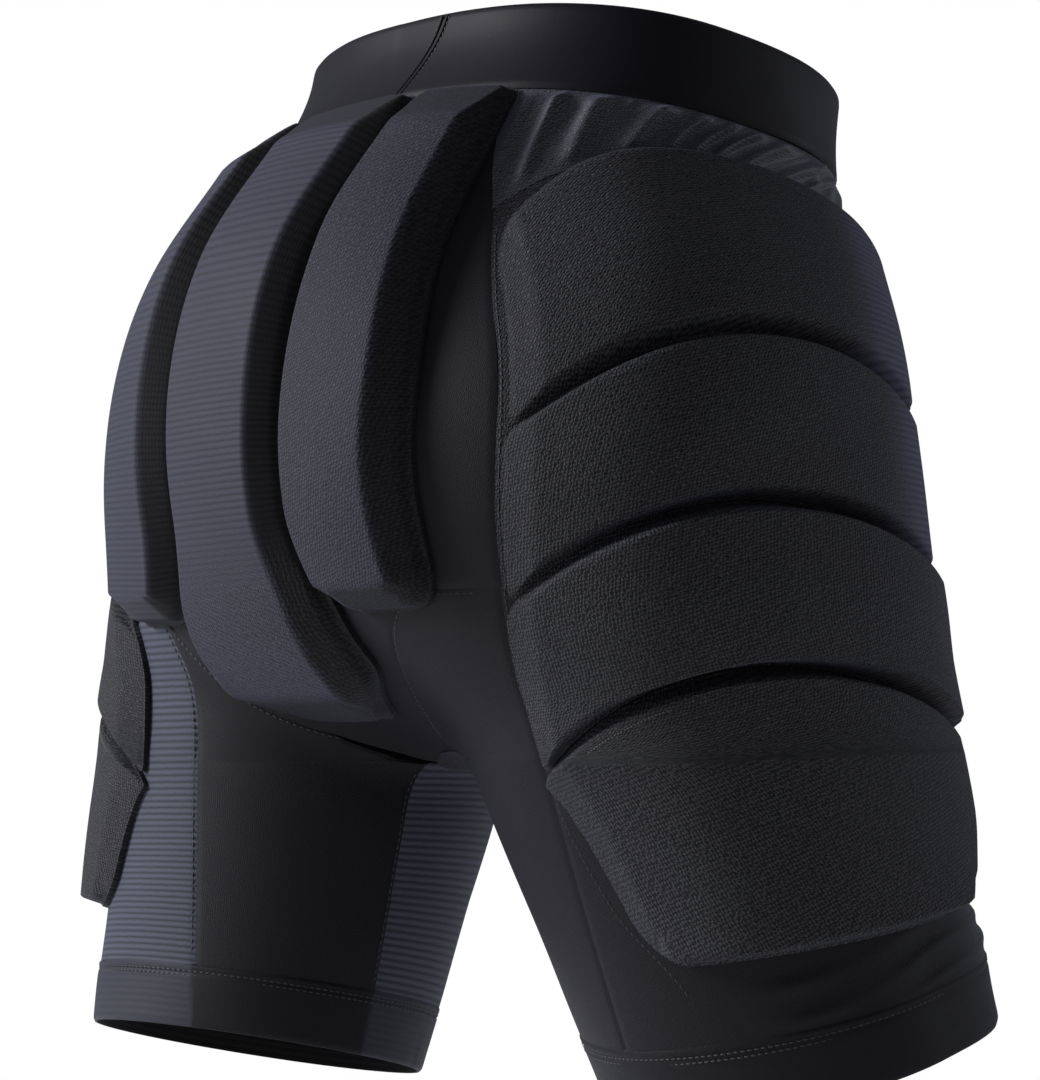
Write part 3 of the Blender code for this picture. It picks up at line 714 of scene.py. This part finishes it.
def cord_line(name, side, run, drop, lift, look, radius=0.0006):
    """A thin raised seam along a line."""
    run, drop, lift = (np.asarray(a, float) for a in np.broadcast_arrays(run, drop, lift))
    p, n = spots(side, run, drop)
    p = p + n * lift[:, None]
    along = np.gradient(p, axis=0)
    along /= np.linalg.norm(along, axis=1, keepdims=True)
    beside = np.cross(along, n)
    around = np.linspace(0, 2 * math.pi, 9)[:-1]
    tube = np.stack([p + radius * (beside * math.cos(t) + n * math.sin(t)) for t in around], 1)
    number, faces = grid_faces(len(p), len(around), True)
    uv = np.stack(np.meshgrid(around * radius, np.linspace(0, 0.2, len(p))), -1).reshape(-1, 2)
    ends = [list(range(len(around)))[::-1], [int(v) for v in number[-1, :-1]]]
    return make_mesh(name, tube.reshape(-1, 3), faces.tolist() + ends, look, uv, sharp=80.0)


# ---- waistband ----
def waistband():
    rows, half = 26, 130
    drops = RIM_DROP + BAND_HEIGHT * lines(rows)
    share = lines(half)
    left = np.stack([share * LAY.girth(LEFT, d) for d in drops])
    right = np.stack([share * LAY.girth(RIGHT, d) for d in drops])
    pl, nl = spots(LEFT, left, drops[:, None])
    pr, nr = spots(RIGHT, right, drops[:, None])
    p = np.concatenate([pl[:, :-1], pr[:, ::-1][:, :-1]], 1)
    n = np.concatenate([nl[:, :-1], nr[:, ::-1][:, :-1]], 1)
    around = np.concatenate([left[:, :-1], (2 * LAY.girth(RIGHT, RIM_DROP) - right[:, ::-1])[:, :-1]], 1)
    down = np.broadcast_to(drops[:, None], around.shape)
    edge = np.minimum(down - RIM_DROP, BAND_FOOT - down)
    rolled = 0.0012 * np.exp(-((edge / 0.0011) ** 2))
    lift = BAND_THICKNESS + 0.0004 - rolled + ripple(around, 0.4 * down, 0.0004)
    outer = p + n * lift[..., None]
    inner = p - n * LIFT_EPS
    for ring in (outer, inner):
        level = ring[0, :, 1] * math.tan(RIM_TILT) - RIM_DROP
        ring[..., 2] += (level - ring[0, :, 2]) * np.exp((RIM_DROP - drops[:, None]) / 0.004)
    place = (around, down)
    band = shell("waistband_elastic", inner, outer, BAND_LOOK, place, PLAIN, True, n)
    sew_in(band, 0, "waistband", "elastic", 2 * LAY.girth(RIGHT, 0.02), BAND_HEIGHT)
    t = lines(60)
    offset = between(*JOIN_OFFSET, t)
    drop = between(RIM_DROP + JOIN_INSET / 2, BAND_FOOT - JOIN_INSET / 2, t)
    pieces = []
    for k, edge in enumerate((-1, 1)):
        run = -(offset + edge * JOIN_WIDTH * 0.36)
        line = cord_line(f"band_join_edge_{k + 1}", 0, run, drop, BAND_THICKNESS + 0.0005, BAND_LOOK, 0.0007)
        pieces.append(line)
        name = f"band_join_stitches_{k + 1}"
        beside = run - edge * 0.0011
        pieces.append(stitches(name, 0, beside, drop, BAND_THICKNESS + 0.0005, THREAD, 0.0024, 0.0016))
    for piece in pieces:
        turn_with(piece, 0)
    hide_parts("waistband_join")
    # the seam under the band
    for side in (LEFT, RIGHT):
        run = lines(260) * LAY.girth(side, BAND_FOOT)
        name = f"{side_name(side)}_band_seam"
        row = stitches(name, side, run, BAND_FOOT + 0.0012, FABRIC, THREAD, 0.0026, 0.0018)
        turn_with(row, 0)


# ---- panels ----
def seat_foot(run):
    """The seat panel's lower edge, which reaches the crotch at the middle."""
    deeper = LAY.crotch - UNDER_SEAT[0]
    return under_seat(run) + deeper * (1 - smooth((np.abs(run) - 0.022) / 0.015))


def seat_panels():
    first = None
    for side in (LEFT, RIGHT):
        name = side_name(side)
        across, down = np.meshgrid(lines(96), lines(170))
        level = between(BAND_FOOT, UNDER_SEAT[1], down)
        edge = LAY.side_run(side, level) + seat_seam(level)
        run = edge * across
        foot = seat_foot(run)
        drop = between(BAND_FOOT - 0.0005, foot, down)
        lift = seam_lift(FABRIC, (1 - across) * edge, foot - drop + 0.0 * run) + ripple(run, drop)
        p, n = spots(side, run, drop)
        if first is None:
            first = p[:, 0].copy(), n[:, 0].copy()
        else:
            p[:, 0], n[:, 0] = first
        inner = p + n * np.maximum(lift - FABRIC, 0)[..., None]
        lift[:, 0] = FABRIC
        outer = p + n * lift[..., None]
        panel = shell(f"{name}_seat_skin", inner, outer, KNIT_LOOK, (run, drop), PLAIN, False, n)
        sew_in(panel, side, "seat_panel", "smooth_knit", 0.165, 0.26)


def yoke(side):
    name = side_name(side)
    across, down = np.meshgrid(lines(210), lines(64))
    near = between(SEAT_SEAM[0], FRONT_SEAM, across)
    end = arch(near, ARCHES[0]) - 0.0012
    drop = between(BAND_FOOT - 0.0005, end, down)
    run = between(seat_seam(drop), FRONT_SEAM, across)
    u, t = run, drop - BAND_FOOT
    # each fold starts at the band and fans down and back
    lean = 0.70 + 1.5 * smooth((u + 0.090) / 0.13)
    top = u + lean * t
    fan = smooth((top + 0.105) / 0.03) * (1 - smooth((top - 0.060) / 0.03))
    fade = smooth(down / 0.24) * (1 - 0.5 * smooth(down)) * smooth((1 - down) / 0.20)
    fold = 0.5 + 0.5 * np.cos(2 * math.pi * (top / 0.0180 + 0.30 * np.sin(top * 71)))
    lift = 0.0046 * fan * fade * fold**2.2
    fine = 0.5 + 0.5 * np.cos(2 * math.pi * (top / 0.0093 + 0.25 * np.sin(top * 133)))
    lift += 0.0008 * fan * (1 - smooth(down / 0.55)) * smooth(down / 0.20) * fine
    # short deep gathers under the band, in front
    pleat = 0.5 + 0.5 * np.cos(2 * math.pi * (u + 0.7 * t) / 0.0165)
    front = smooth((u - 0.030) / 0.015) * (1 - smooth((u - FRONT_SEAM + 0.012) / 0.012))
    lift += 0.0022 * front * smooth(down / 0.25) * smooth((1 - down) / 0.35) * pleat**1.4
    lift += FABRIC + 0.0006 * smooth(down / 0.2) * smooth((1 - down) / 0.25) + ripple(u, drop, 0.0003)
    run = LAY.side_run(side, drop) + run
    panel = cloth(f"{name}_gathered_yoke", side, run, drop, lift, YOKE_LOOK, PLAIN)
    sew_in(panel, side, f"{name}_yoke", "smooth_knit", 0.215, 0.045, "gathered", (0.85, 1.0))


def side_panel(side):
    """The base of the hip pad, from the yoke to the hem."""
    name = side_name(side)
    across, down = np.meshgrid(lines(130), lines(210))
    near = between(SEAT_SEAM[0], FRONT_SEAM, across)
    top = arch(near, ARCHES[0]) - 0.0016
    foot = UNDER_SEAT[1] + 0.0012
    drop = between(top, foot, down)
    run = between(seat_seam(drop), FRONT_SEAM, across)
    lift = seam_lift(FABRIC, run - seat_seam(drop), FRONT_SEAM - run)
    front = smooth((run - 0.015) / 0.05)
    run = LAY.side_run(side, drop) + run
    panel = cloth(f"{name}_hip_base", side, run, drop, lift, CREPE_LOOK, {"tone": 1.0, "rib": front})
    sew_in(panel, side, f"{name}_side_panel", "crepe", 0.225, 0.17)


def front_panels():
    first = None
    for side in (LEFT, RIGHT):
        name = side_name(side)
        across, down = np.meshgrid(lines(90), lines(170))
        drop = between(BAND_FOOT - 0.0005, LAY.crotch, down)
        start = LAY.side_run(side, drop) + FRONT_SEAM
        end = LAY.girth(side, drop)
        run = between(start, end, across)
        lift = seam_lift(FABRIC, run - start, end - run) + ripple(run, drop)
        p, n = spots(side, run, drop)
        if first is None:
            first = p[:, -1].copy(), n[:, -1].copy()
        else:
            p[:, -1], n[:, -1] = first
        lift[:, -1] = FABRIC - SEAM_DIP
        inner = p + n * np.maximum(lift - FABRIC, 0)[..., None]
        outer = p + n * lift[..., None]
        panel = shell(f"{name}_front_skin", inner, outer, RIB_LOOK, (run, drop), RIBBED, False, n)
        sew_in(panel, side, f"{name}_front_panel", "ribbed_mesh", 0.165, 0.265)


def crotch_gusset():
    across, along = np.meshgrid(2 * lines(20) - 1, lines(60))
    y = between(*GUSSET_SPAN, along)
    half = GUSSET_HALF_WIDTH * np.sqrt(np.maximum(1 - np.abs(2 * along - 1) ** 4, 0.02))
    p = np.stack([across * half, y, 0 * y - LAY.crotch - GUSSET_SEED], -1)
    p = onto_form(onto_form(p))
    n = outward(p)
    lift = FABRIC + 0.0006 - 0.0005 * np.abs(across) ** 6
    outer = p + n * lift[..., None]
    place = (across * half, y)
    values = {"tone": 0.4, "rib": 0.0}
    gusset = shell("crotch_gusset_skin", p + n * 0.0004, outer, PAD_LOOK, place, values, False, n)
    width, length = 2 * GUSSET_HALF_WIDTH, GUSSET_SPAN[0] - GUSSET_SPAN[1]
    sew_in(gusset, 0, "crotch_gusset", "pad_mesh", width, length)


def thigh_panels(side):
    name = side_name(side)
    foot = LEG_DROP - HEM_HEIGHT + 0.0005
    top = LAY.crotch

    def back(across, down):
        def run_at(drop):
            return between(INSEAM_HALF_WIDTH, LAY.side_run(side, drop) + OUTSEAM[side], across)

        start = UNDER_SEAT[1] + 0 * across
        for _ in range(6):
            start = seat_foot(run_at(start))
        drop = between(start, foot, down)
        return run_at(drop), drop

    def outer(across, down):
        run = between(OUTSEAM[side], FRONT_SEAM, across)
        start = seat_foot(LAY.side_run(side, UNDER_SEAT[1]) + run)
        drop = between(start, foot, down)
        return LAY.side_run(side, drop) + run, drop

    def front(across, down):
        drop = between(top, foot, down)
        start = LAY.side_run(side, drop) + FRONT_SEAM
        return between(start, LAY.girth(side, drop) - INSEAM_HALF_WIDTH, across), drop

    def inner(across, down):
        return INSEAM_HALF_WIDTH * (2 * across - 1), between(top, foot, down)

    left = side == LEFT
    # The right outer thigh is darker than the left one: painted shade on the side that faces away from the
    # key light.
    outer_kind = (RIB_LOOK, "ribbed_mesh", 1.0) if left else (SHADED_THIGH_LOOK, "crepe", 0.0)
    kinds = (
        ("back_thigh", back, (90, 110), KNIT_LOOK, "smooth_knit", 0.0, (0.13, 0.17)),
        ("outer_thigh", outer, (150, 110), *outer_kind, (0.26, 0.17)),
        ("front_thigh", front, (80, 70), RIB_LOOK, "ribbed_mesh", 1.0, (0.13, 0.11)),
        ("inner_thigh", inner, (50, 70), RIB_LOOK, "ribbed_mesh", 1.0, (0.075, 0.11)),
    )
    for kind, outline, cells, look, slot, rib, flat in kinds:
        across, down = np.meshgrid(lines(cells[0]), lines(cells[1]))
        run, drop = outline(across, down)
        wide = np.abs(run[:, -1:] - run[:, :1])
        below = np.abs(drop - drop[0])
        lift = seam_lift(FABRIC, across * wide, (1 - across) * wide, below) + ripple(run, drop)
        tone = 1.0
        if kind == "outer_thigh" and not left:
            # Navy and ribbed only toward the front; nearer the side line the panel is left near-black as
            # painted shade.
            from_side = run - LAY.side_run(side, drop)
            rib = smooth((from_side - 0.03) / 0.04)
            tone = rib
            slant = drop + 0.16 * from_side + 0.002 * np.sin(from_side * 60)
            crease = (0.5 + 0.5 * np.cos(2 * math.pi * (slant - 0.391) / 0.0125)) ** 2
            where = smooth((drop - 0.372) / 0.012) * smooth((foot - drop) / 0.004)
            where = where * smooth((from_side + 0.075) / 0.03) * (0.6 + 0.4 * np.sin(from_side * 95))
            lift = lift + 0.0016 * crease * where
            lift = lift + HEM_FLARE * smooth((drop - 0.345) / 0.06) * smooth((from_side - 0.010) / 0.04)
        if kind == "front_thigh" and not left:
            lift = lift + HEM_FLARE * smooth((drop - 0.345) / 0.06) * (1 - smooth(across / 0.4))
        panel = cloth(f"{name}_{kind}_skin", side, run, drop, lift, look, {"tone": tone, "rib": rib})
        sew_in(panel, side, f"{name}_{kind}_panel", slot, *flat)


def leg_hem(side):
    name = side_name(side)
    rows, count = 22, 260
    drops = between(LEG_DROP - HEM_HEIGHT, LEG_DROP, lines(rows))[:, None]
    share = np.arange(count) / count
    run = share * LAY.girth(side, drops)
    p, n = spots(side, run, drops)
    down = np.broadcast_to(drops, run.shape)
    edge = LEG_DROP - down
    if side == RIGHT:
        from_side = run - LAY.side_run(side, down)
        past = from_side - FRONT_SEAM
        p = p + n * (HEM_FLARE * smooth((from_side - 0.010) / 0.04) * (1 - smooth(past / 0.035)))[..., None]
    lift = HEM_THICKNESS - 0.0008 * np.exp(-((edge / 0.0009) ** 2)) + ripple(run, down, 0.0005)
    lift = lift - 0.0006 * np.exp(-(((down - LEG_DROP + HEM_HEIGHT - 0.004) / 0.0009) ** 2))
    lift[0] = HEM_THICKNESS - 0.0008
    outer = p + n * lift[..., None]
    inner = p.copy()
    centre, back = LAY.frame(side, LEG_DROP)
    axis = np.cross(back, np.array([1.0, 0.0, 0.0]))
    for ring in (inner, outer):
        low = ((ring[-1] - centre) @ axis)[None, :, None] * axis
        ring -= low * np.exp(-edge / 0.006)[..., None]
    from_side = run - LAY.side_run(side, down)
    wrapped = np.minimum(run, LAY.girth(side, down) - run)
    front = smooth((from_side - 0.05) / 0.03)
    # The left hem is navy from the outseam forward, the right hem only in front: the right hem's near-black
    # outer side is painted shade, like the thigh panel above it.
    strip = smooth((from_side - OUTSEAM[side]) / 0.002) if side == LEFT else 0 * run
    inseam = 1 - smooth((wrapped - INSEAM_HALF_WIDTH) / 0.002)
    rib = np.maximum.reduce([front, strip, inseam])
    values = {"tone": rib, "rib": 0.6 * rib}
    hem = shell(f"{name}_hem_band", inner, outer, HEM_LOOK, (run, down), values, True, n)
    width = LAY.girth(side, LEG_DROP - 0.01)
    sew_in(hem, side, f"{name}_leg_hem", "smooth_knit", width, HEM_HEIGHT, "folded")
    run = lines(400) * float(LAY.girth(side, LEG_DROP - HEM_HEIGHT + 0.004))
    for k, offset in enumerate((0.0036, 0.0056)):
        drop = LEG_DROP - HEM_HEIGHT + offset
        label = f"{name}_hem_stitches_{k + 1}"
        row = stitches(label, side, run, drop, HEM_THICKNESS, THREAD, 0.0029, 0.0021)
        turn_with(row, side)


# ---- pads ----
def inset_lines(length, step, edge_insets):
    """Places from one edge to the other: at the insets from both ends, and evenly between them."""
    inset = np.asarray(edge_insets)
    count = max(2, int(round((length - 2 * inset[-1]) / step)))
    middle = np.linspace(inset[-1], length - inset[-1], count + 1)[1:-1]
    return np.concatenate([inset, middle, (length - inset)[::-1]])


def rounded(x, y, size, radius, top_radius):
    """Points of a rectangle's grid moved to round its corners, and each one's inset from the edge."""
    dx = np.minimum(x, size[0] - x)
    dy = np.minimum(y, size[1] - y)
    depth = np.minimum(dx, dy)
    r = np.where(y < size[1] / 2, top_radius, radius)
    inside = (dx < r) & (dy < r)
    span = np.maximum(r - depth, 1e-9)
    turn = math.pi / 4 * np.clip((r - np.maximum(dx, dy)) / span, 0, 1)
    long_side = r - span * np.cos(turn)
    short_side = r - span * np.sin(turn)
    nx = np.where(inside, np.where(dx <= dy, long_side, short_side), dx)
    ny = np.where(inside, np.where(dx <= dy, short_side, long_side), dy)
    return (
        np.where(x <= size[0] / 2, nx, size[0] - nx),
        np.where(y <= size[1] / 2, ny, size[1] - ny),
        depth,
    )


def pad(
    name, side, outline, size, thickness, look, nodes, chamfers, shoulder=SHOULDER, corner=CORNER,
    top_corner=TOP_CORNER, crown=0.0012, step=0.0016, values=None,
    wall_rise=PAD_RIM, low_back=0.0, flange=FLANGE,
):
    """A foam block under its cover: a sewn edge, a wall, a chamfer and a crowned face."""
    base = FABRIC + LAYER_GAP
    left, right, top, foot = chamfers
    insets = [
        -flange, -0.7 * flange, -0.0008, -0.0004, 0.0, 0.0007, 0.0015, 0.0025,
        0.0038, 0.0052, 0.0066, 0.0078, 0.0088, 0.0098, 0.0110,
    ]
    gx, gy = np.meshgrid(inset_lines(size[0], step, insets), inset_lines(size[1], step, insets))
    x, y, depth = rounded(gx, gy, size, corner, top_corner)
    run, drop = outline(x / size[0], y / size[1])
    rise = thickness - wall_rise
    slopes = [gx / left, (size[0] - gx) / right, gy / top, (size[1] - gy) / foot]
    climb = slopes[0]
    for slope in slopes[1:]:
        climb = soft_min(climb, slope, 0.12)
    cushion_x = np.clip((0.5 - np.abs(gx / size[0] - 0.5)) * 2, 0, 1)
    cushion_y = np.clip((0.5 - np.abs(gy / size[1] - 0.5)) * 2, 0, 1)
    cushion = cushion_x * cushion_y
    full = 1.0 + crown / rise * np.sqrt(cushion)
    share = soft_min(climb, full, shoulder / rise)
    wall = smooth((depth + 0.0016) / 0.0026)
    tall = 1.0 - low_back * (1.0 - smooth(gx / LOW_BACK_REACH))
    risen = tall * (wall_rise + rise * np.maximum(share, 0.0))
    lift = base + COVER + wall * risen + ripple(run, drop, 0.0003) * wall
    shade = {"tone": smooth((climb - 0.80) / 0.16), "rib": 0.0}
    for key, value in (values or {}).items():
        shade[key] = value(run, drop) if callable(value) else value
    p, n = spots(side, run, drop)
    inner = p + n * (FABRIC + LIFT_EPS)
    made = shell(name, inner, p + n * lift[..., None], look, (run, drop), shade, False, n)
    turn_with(made, side)
    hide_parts(*nodes)


def tailbone_pad():
    top, foot = SEAT_TOP, TAIL_FOOT
    narrower, start, length = TAIL_TIP

    def outline(across, down):
        drop = between(top, foot, down)
        half = tail_edge(drop) - narrower * smooth((drop - start) / length)
        return half * (2 * across - 1), drop

    size = (2 * TAIL_HALF_WIDTH, foot - top)
    ribs = {"rib": lambda run, drop: 1 - smooth((drop - 0.195) / 0.05)}
    nodes = ("tailbone_pad_foam", "tailbone_pad_cover")
    pad(
        "tailbone_pad_cushion", 0, outline, size, TAIL_PAD_THICKNESS, PAD_LOOK, nodes,
        chamfers=(0.008, 0.009, 0.020, 0.016), values=ribs,
    )


def seat_pad(side):
    name = side_name(side)
    top, foot = SEAT_TOP, SEAT_PAD_FOOT
    inner = TAIL_HALF_WIDTH + CHANNEL
    narrower, length = SEAT_PAD_TAPER

    def outline(across, down):
        drop = between(top, foot, down)
        far = SEAT_PAD_EDGE - narrower * (1 - smooth((drop - top) / length))
        return between(tail_edge(drop) + CHANNEL, far, across), drop

    size = (SEAT_PAD_EDGE - inner, foot - top)
    # Ribs only on the left pad. The right pad's plainer, darker weave is painted shade: the same ribbed
    # cover, where it lies away from the light.
    values = {"rib": 1.0 if side == LEFT else 0.0}
    nodes = (f"{name}_seat_pad_foam", f"{name}_seat_pad_cover")
    pad(
        f"{name}_seat_cushion", side, outline, size, SEAT_PAD_THICKNESS, PAD_LOOK, nodes,
        chamfers=(0.008, 0.009, 0.022, 0.011), values=values,
    )


def hip_pads(side):
    name = side_name(side)
    back, front = HIP_EDGES
    for k in range(len(ARCHES)):
        last = k == len(ARCHES) - 1
        ease = between(*HIP_BACK_EASE, k / (len(ARCHES) - 1))

        def outline(across, down):
            narrow = np.clip(down, 0, 1) ** 0.9 if last else 0 * down
            near = back - ease + HIP_FOOT_TAPER[0] * narrow
            far = front - (HIP_FOOT_TAPER[1] + 0.008) * narrow**2
            run = between(near, far, across)
            start = arch(run, ARCHES[k]) + (SEEN_GROOVE / 2 if k else 0.0)
            end = HIP_FOOT - 0.006 + 0 * run if last else arch(run, ARCHES[k + 1]) - SEEN_GROOVE / 2
            drop = between(start, end, down)
            return LAY.side_run(side, drop) + run, drop

        # Navy and ribs toward the front: partly the fabric's own navy ribs, partly painted highlight for the
        # front-right light; fainter on the lower segments.
        def ribs(run, drop):
            past = run - LAY.side_run(side, drop) - 0.012 - 0.014 * k
            return smooth(past / 0.035) * (1.0 if k < 2 else 0.35)

        size = (front - back + ease, (HIP_FOOT if last else ARCHES[k + 1]) - ARCHES[k] - SEEN_GROOVE)
        nodes = (f"{name}_hip_{k + 1}_foam", f"{name}_hip_{k + 1}_cover")
        pad(
            f"{name}_hip_cushion_{k + 1}", side, outline, size, HIP_PAD_THICKNESS[k], HIP_LOOK, nodes,
            chamfers=(0.012, 0.011, 0.0028, 0.0028), flange=0.0013, shoulder=0.0020,
            corner=0.022 if last else 0.004, top_corner=0.012 if k == 0 else 0.004, crown=0.0014,
            wall_rise=0.0016, low_back=LOW_BACK, values={"tone": ribs, "rib": ribs},
        )
        if k:
            # A row of stitches under each groove, on the next segment's upper rim, in thread made pale as a
            # painted highlight.
            run = between(back + 0.010, -0.030, lines(160))
            drop = arch(run, ARCHES[k]) + SEEN_GROOVE / 2 + 0.0056
            tall = 1.0 - LOW_BACK * (1.0 - smooth((run - back + ease) / LOW_BACK_REACH))
            top = FABRIC + LAYER_GAP + COVER + HIP_PAD_THICKNESS[k] * tall
            run = LAY.side_run(side, drop) + run
            label = f"{name}_hip_dots_{k + 1}"
            dots = stitches(label, side, run, drop, top, HIGHLIGHT_THREAD, 0.0016, 0.0007, 0.0003, 0.00016)
            turn_with(dots, side)


def seams(side):
    """Rows of stitches along the seams that show."""
    name = side_name(side)
    down = lines(500)
    drop = between(0.100, LEG_DROP - HEM_HEIGHT - 0.004, down)
    edge = np.where(drop < UNDER_SEAT[1], seat_seam(drop), OUTSEAM[side])
    rows = {"outseam": (LAY.side_run(side, drop) + edge + 0.0018, drop)}
    if side == RIGHT:
        inward = 0.021 * smooth((drop - 0.32) / 0.06) + 0.02 * smooth((drop - 0.355) / 0.04)
        keep = drop < 0.385
        rows["outseam"] = ((LAY.side_run(side, drop) + edge + 0.0018 + inward)[keep], drop[keep])
    drop = between(LAY.crotch + 0.004, LEG_DROP - HEM_HEIGHT - 0.002, down)
    rows["inseam_back"] = (INSEAM_HALF_WIDTH + 0.0016 + 0 * drop, drop)
    run = between(0.036, 0.128, down)
    rows["under_seat"] = (run, under_seat(run) + 0.0018)
    for kind, (run, drop) in rows.items():
        row = stitches(f"{name}_{kind}_stitches", side, run, drop, FABRIC, THREAD)
        turn_with(row, side)


# ---- stage ----
def put_aimed(name, data, place, aim):
    """Puts a light or camera at a place, turned to its aim."""
    made = bpy.data.objects.new(name, data)
    made.location = place
    made.rotation_euler = (Vector(aim) - Vector(place)).to_track_quat("-Z", "Y").to_euler()
    bpy.context.scene.collection.objects.link(made)
    return made


def area_light(name, place, aim, size, energy, colour):
    data = bpy.data.lights.new(name, "AREA")
    data.shape = "DISK"
    data.size = size
    data.energy = energy
    data.color = colour
    put_aimed(name, data, place, aim)


def stage():
    rings = (0.0, 0.7, 1.4, 2.0, 2.2)
    around = np.linspace(0, 2 * math.pi, 97)[:-1]
    points = np.array([[r * math.cos(t), r * math.sin(t), -0.62] for r in rings for t in around])
    faces = grid_faces(len(rings), len(around), True)[1]
    s = Shader("pale_floor")
    grain = s.noise(s.tree.nodes.new("ShaderNodeTexCoord").outputs["Object"], 9.0, 3.0)
    s.surface("Base Color", s.blend(grain, (0.86, 0.86, 0.86, 1), (0.90, 0.90, 0.90, 1)))
    s.surface("Roughness", 0.8)
    s.surface("Emission Color", (1.0, 1.0, 1.0, 1.0))
    s.surface("Emission Strength", 0.14)
    make_mesh("pale_floor", points, faces[:, ::-1], s.material)
    world = bpy.data.worlds.new("studio")
    world.use_nodes = True
    nodes, links = world.node_tree.nodes, world.node_tree.links
    white = nodes["Background"]
    white.inputs["Color"].default_value = (1.0, 1.0, 1.0, 1.0)
    dim = nodes.new("ShaderNodeBackground")
    dim.inputs["Color"].default_value = (0.92, 0.95, 1.0, 1.0)
    dim.inputs["Strength"].default_value = AMBIENT
    seen = nodes.new("ShaderNodeLightPath")
    both = nodes.new("ShaderNodeMixShader")
    links.new(seen.outputs["Is Camera Ray"], both.inputs[0])
    links.new(dim.outputs[0], both.inputs[1])
    links.new(white.outputs[0], both.inputs[2])
    links.new(both.outputs[0], nodes["World Output"].inputs[0])
    scene = bpy.context.scene
    scene.world = world
    scene.view_settings.view_transform = "Standard"
    area_light("key", (1.25, 2.0, 0.75), (0, 0.02, -0.2), 1.0, 96.0, (0.96, 0.97, 1.0))
    area_light("rim", (-0.9, -2.0, 0.2), (0, 0, -0.25), 0.9, 8.0, (0.90, 0.93, 1.0))


def camera():
    azimuth = math.radians(234.16)
    away = 1.8976
    place = Vector((away * math.sin(azimuth), -away * math.cos(azimuth), -0.3397))
    aim = Vector((0.0, 0.02, -0.2077))
    beside = (aim - place).cross(Vector((0, 0, 1))).normalized()
    aim = aim + beside * 0.0058
    data = bpy.data.cameras.new("camera")
    data.lens = 150.09
    data.sensor_width = 36.0
    data.sensor_fit = "HORIZONTAL"
    bpy.context.scene.camera = put_aimed("camera", data, place, aim)


def main():
    camera()
    stage()
    waistband()
    seat_panels()
    front_panels()
    crotch_gusset()
    tailbone_pad()
    for side in (LEFT, RIGHT):
        yoke(side)
        side_panel(side)
        thigh_panels(side)
        leg_hem(side)
        seat_pad(side)
        hip_pads(side)
        seams(side)


main()
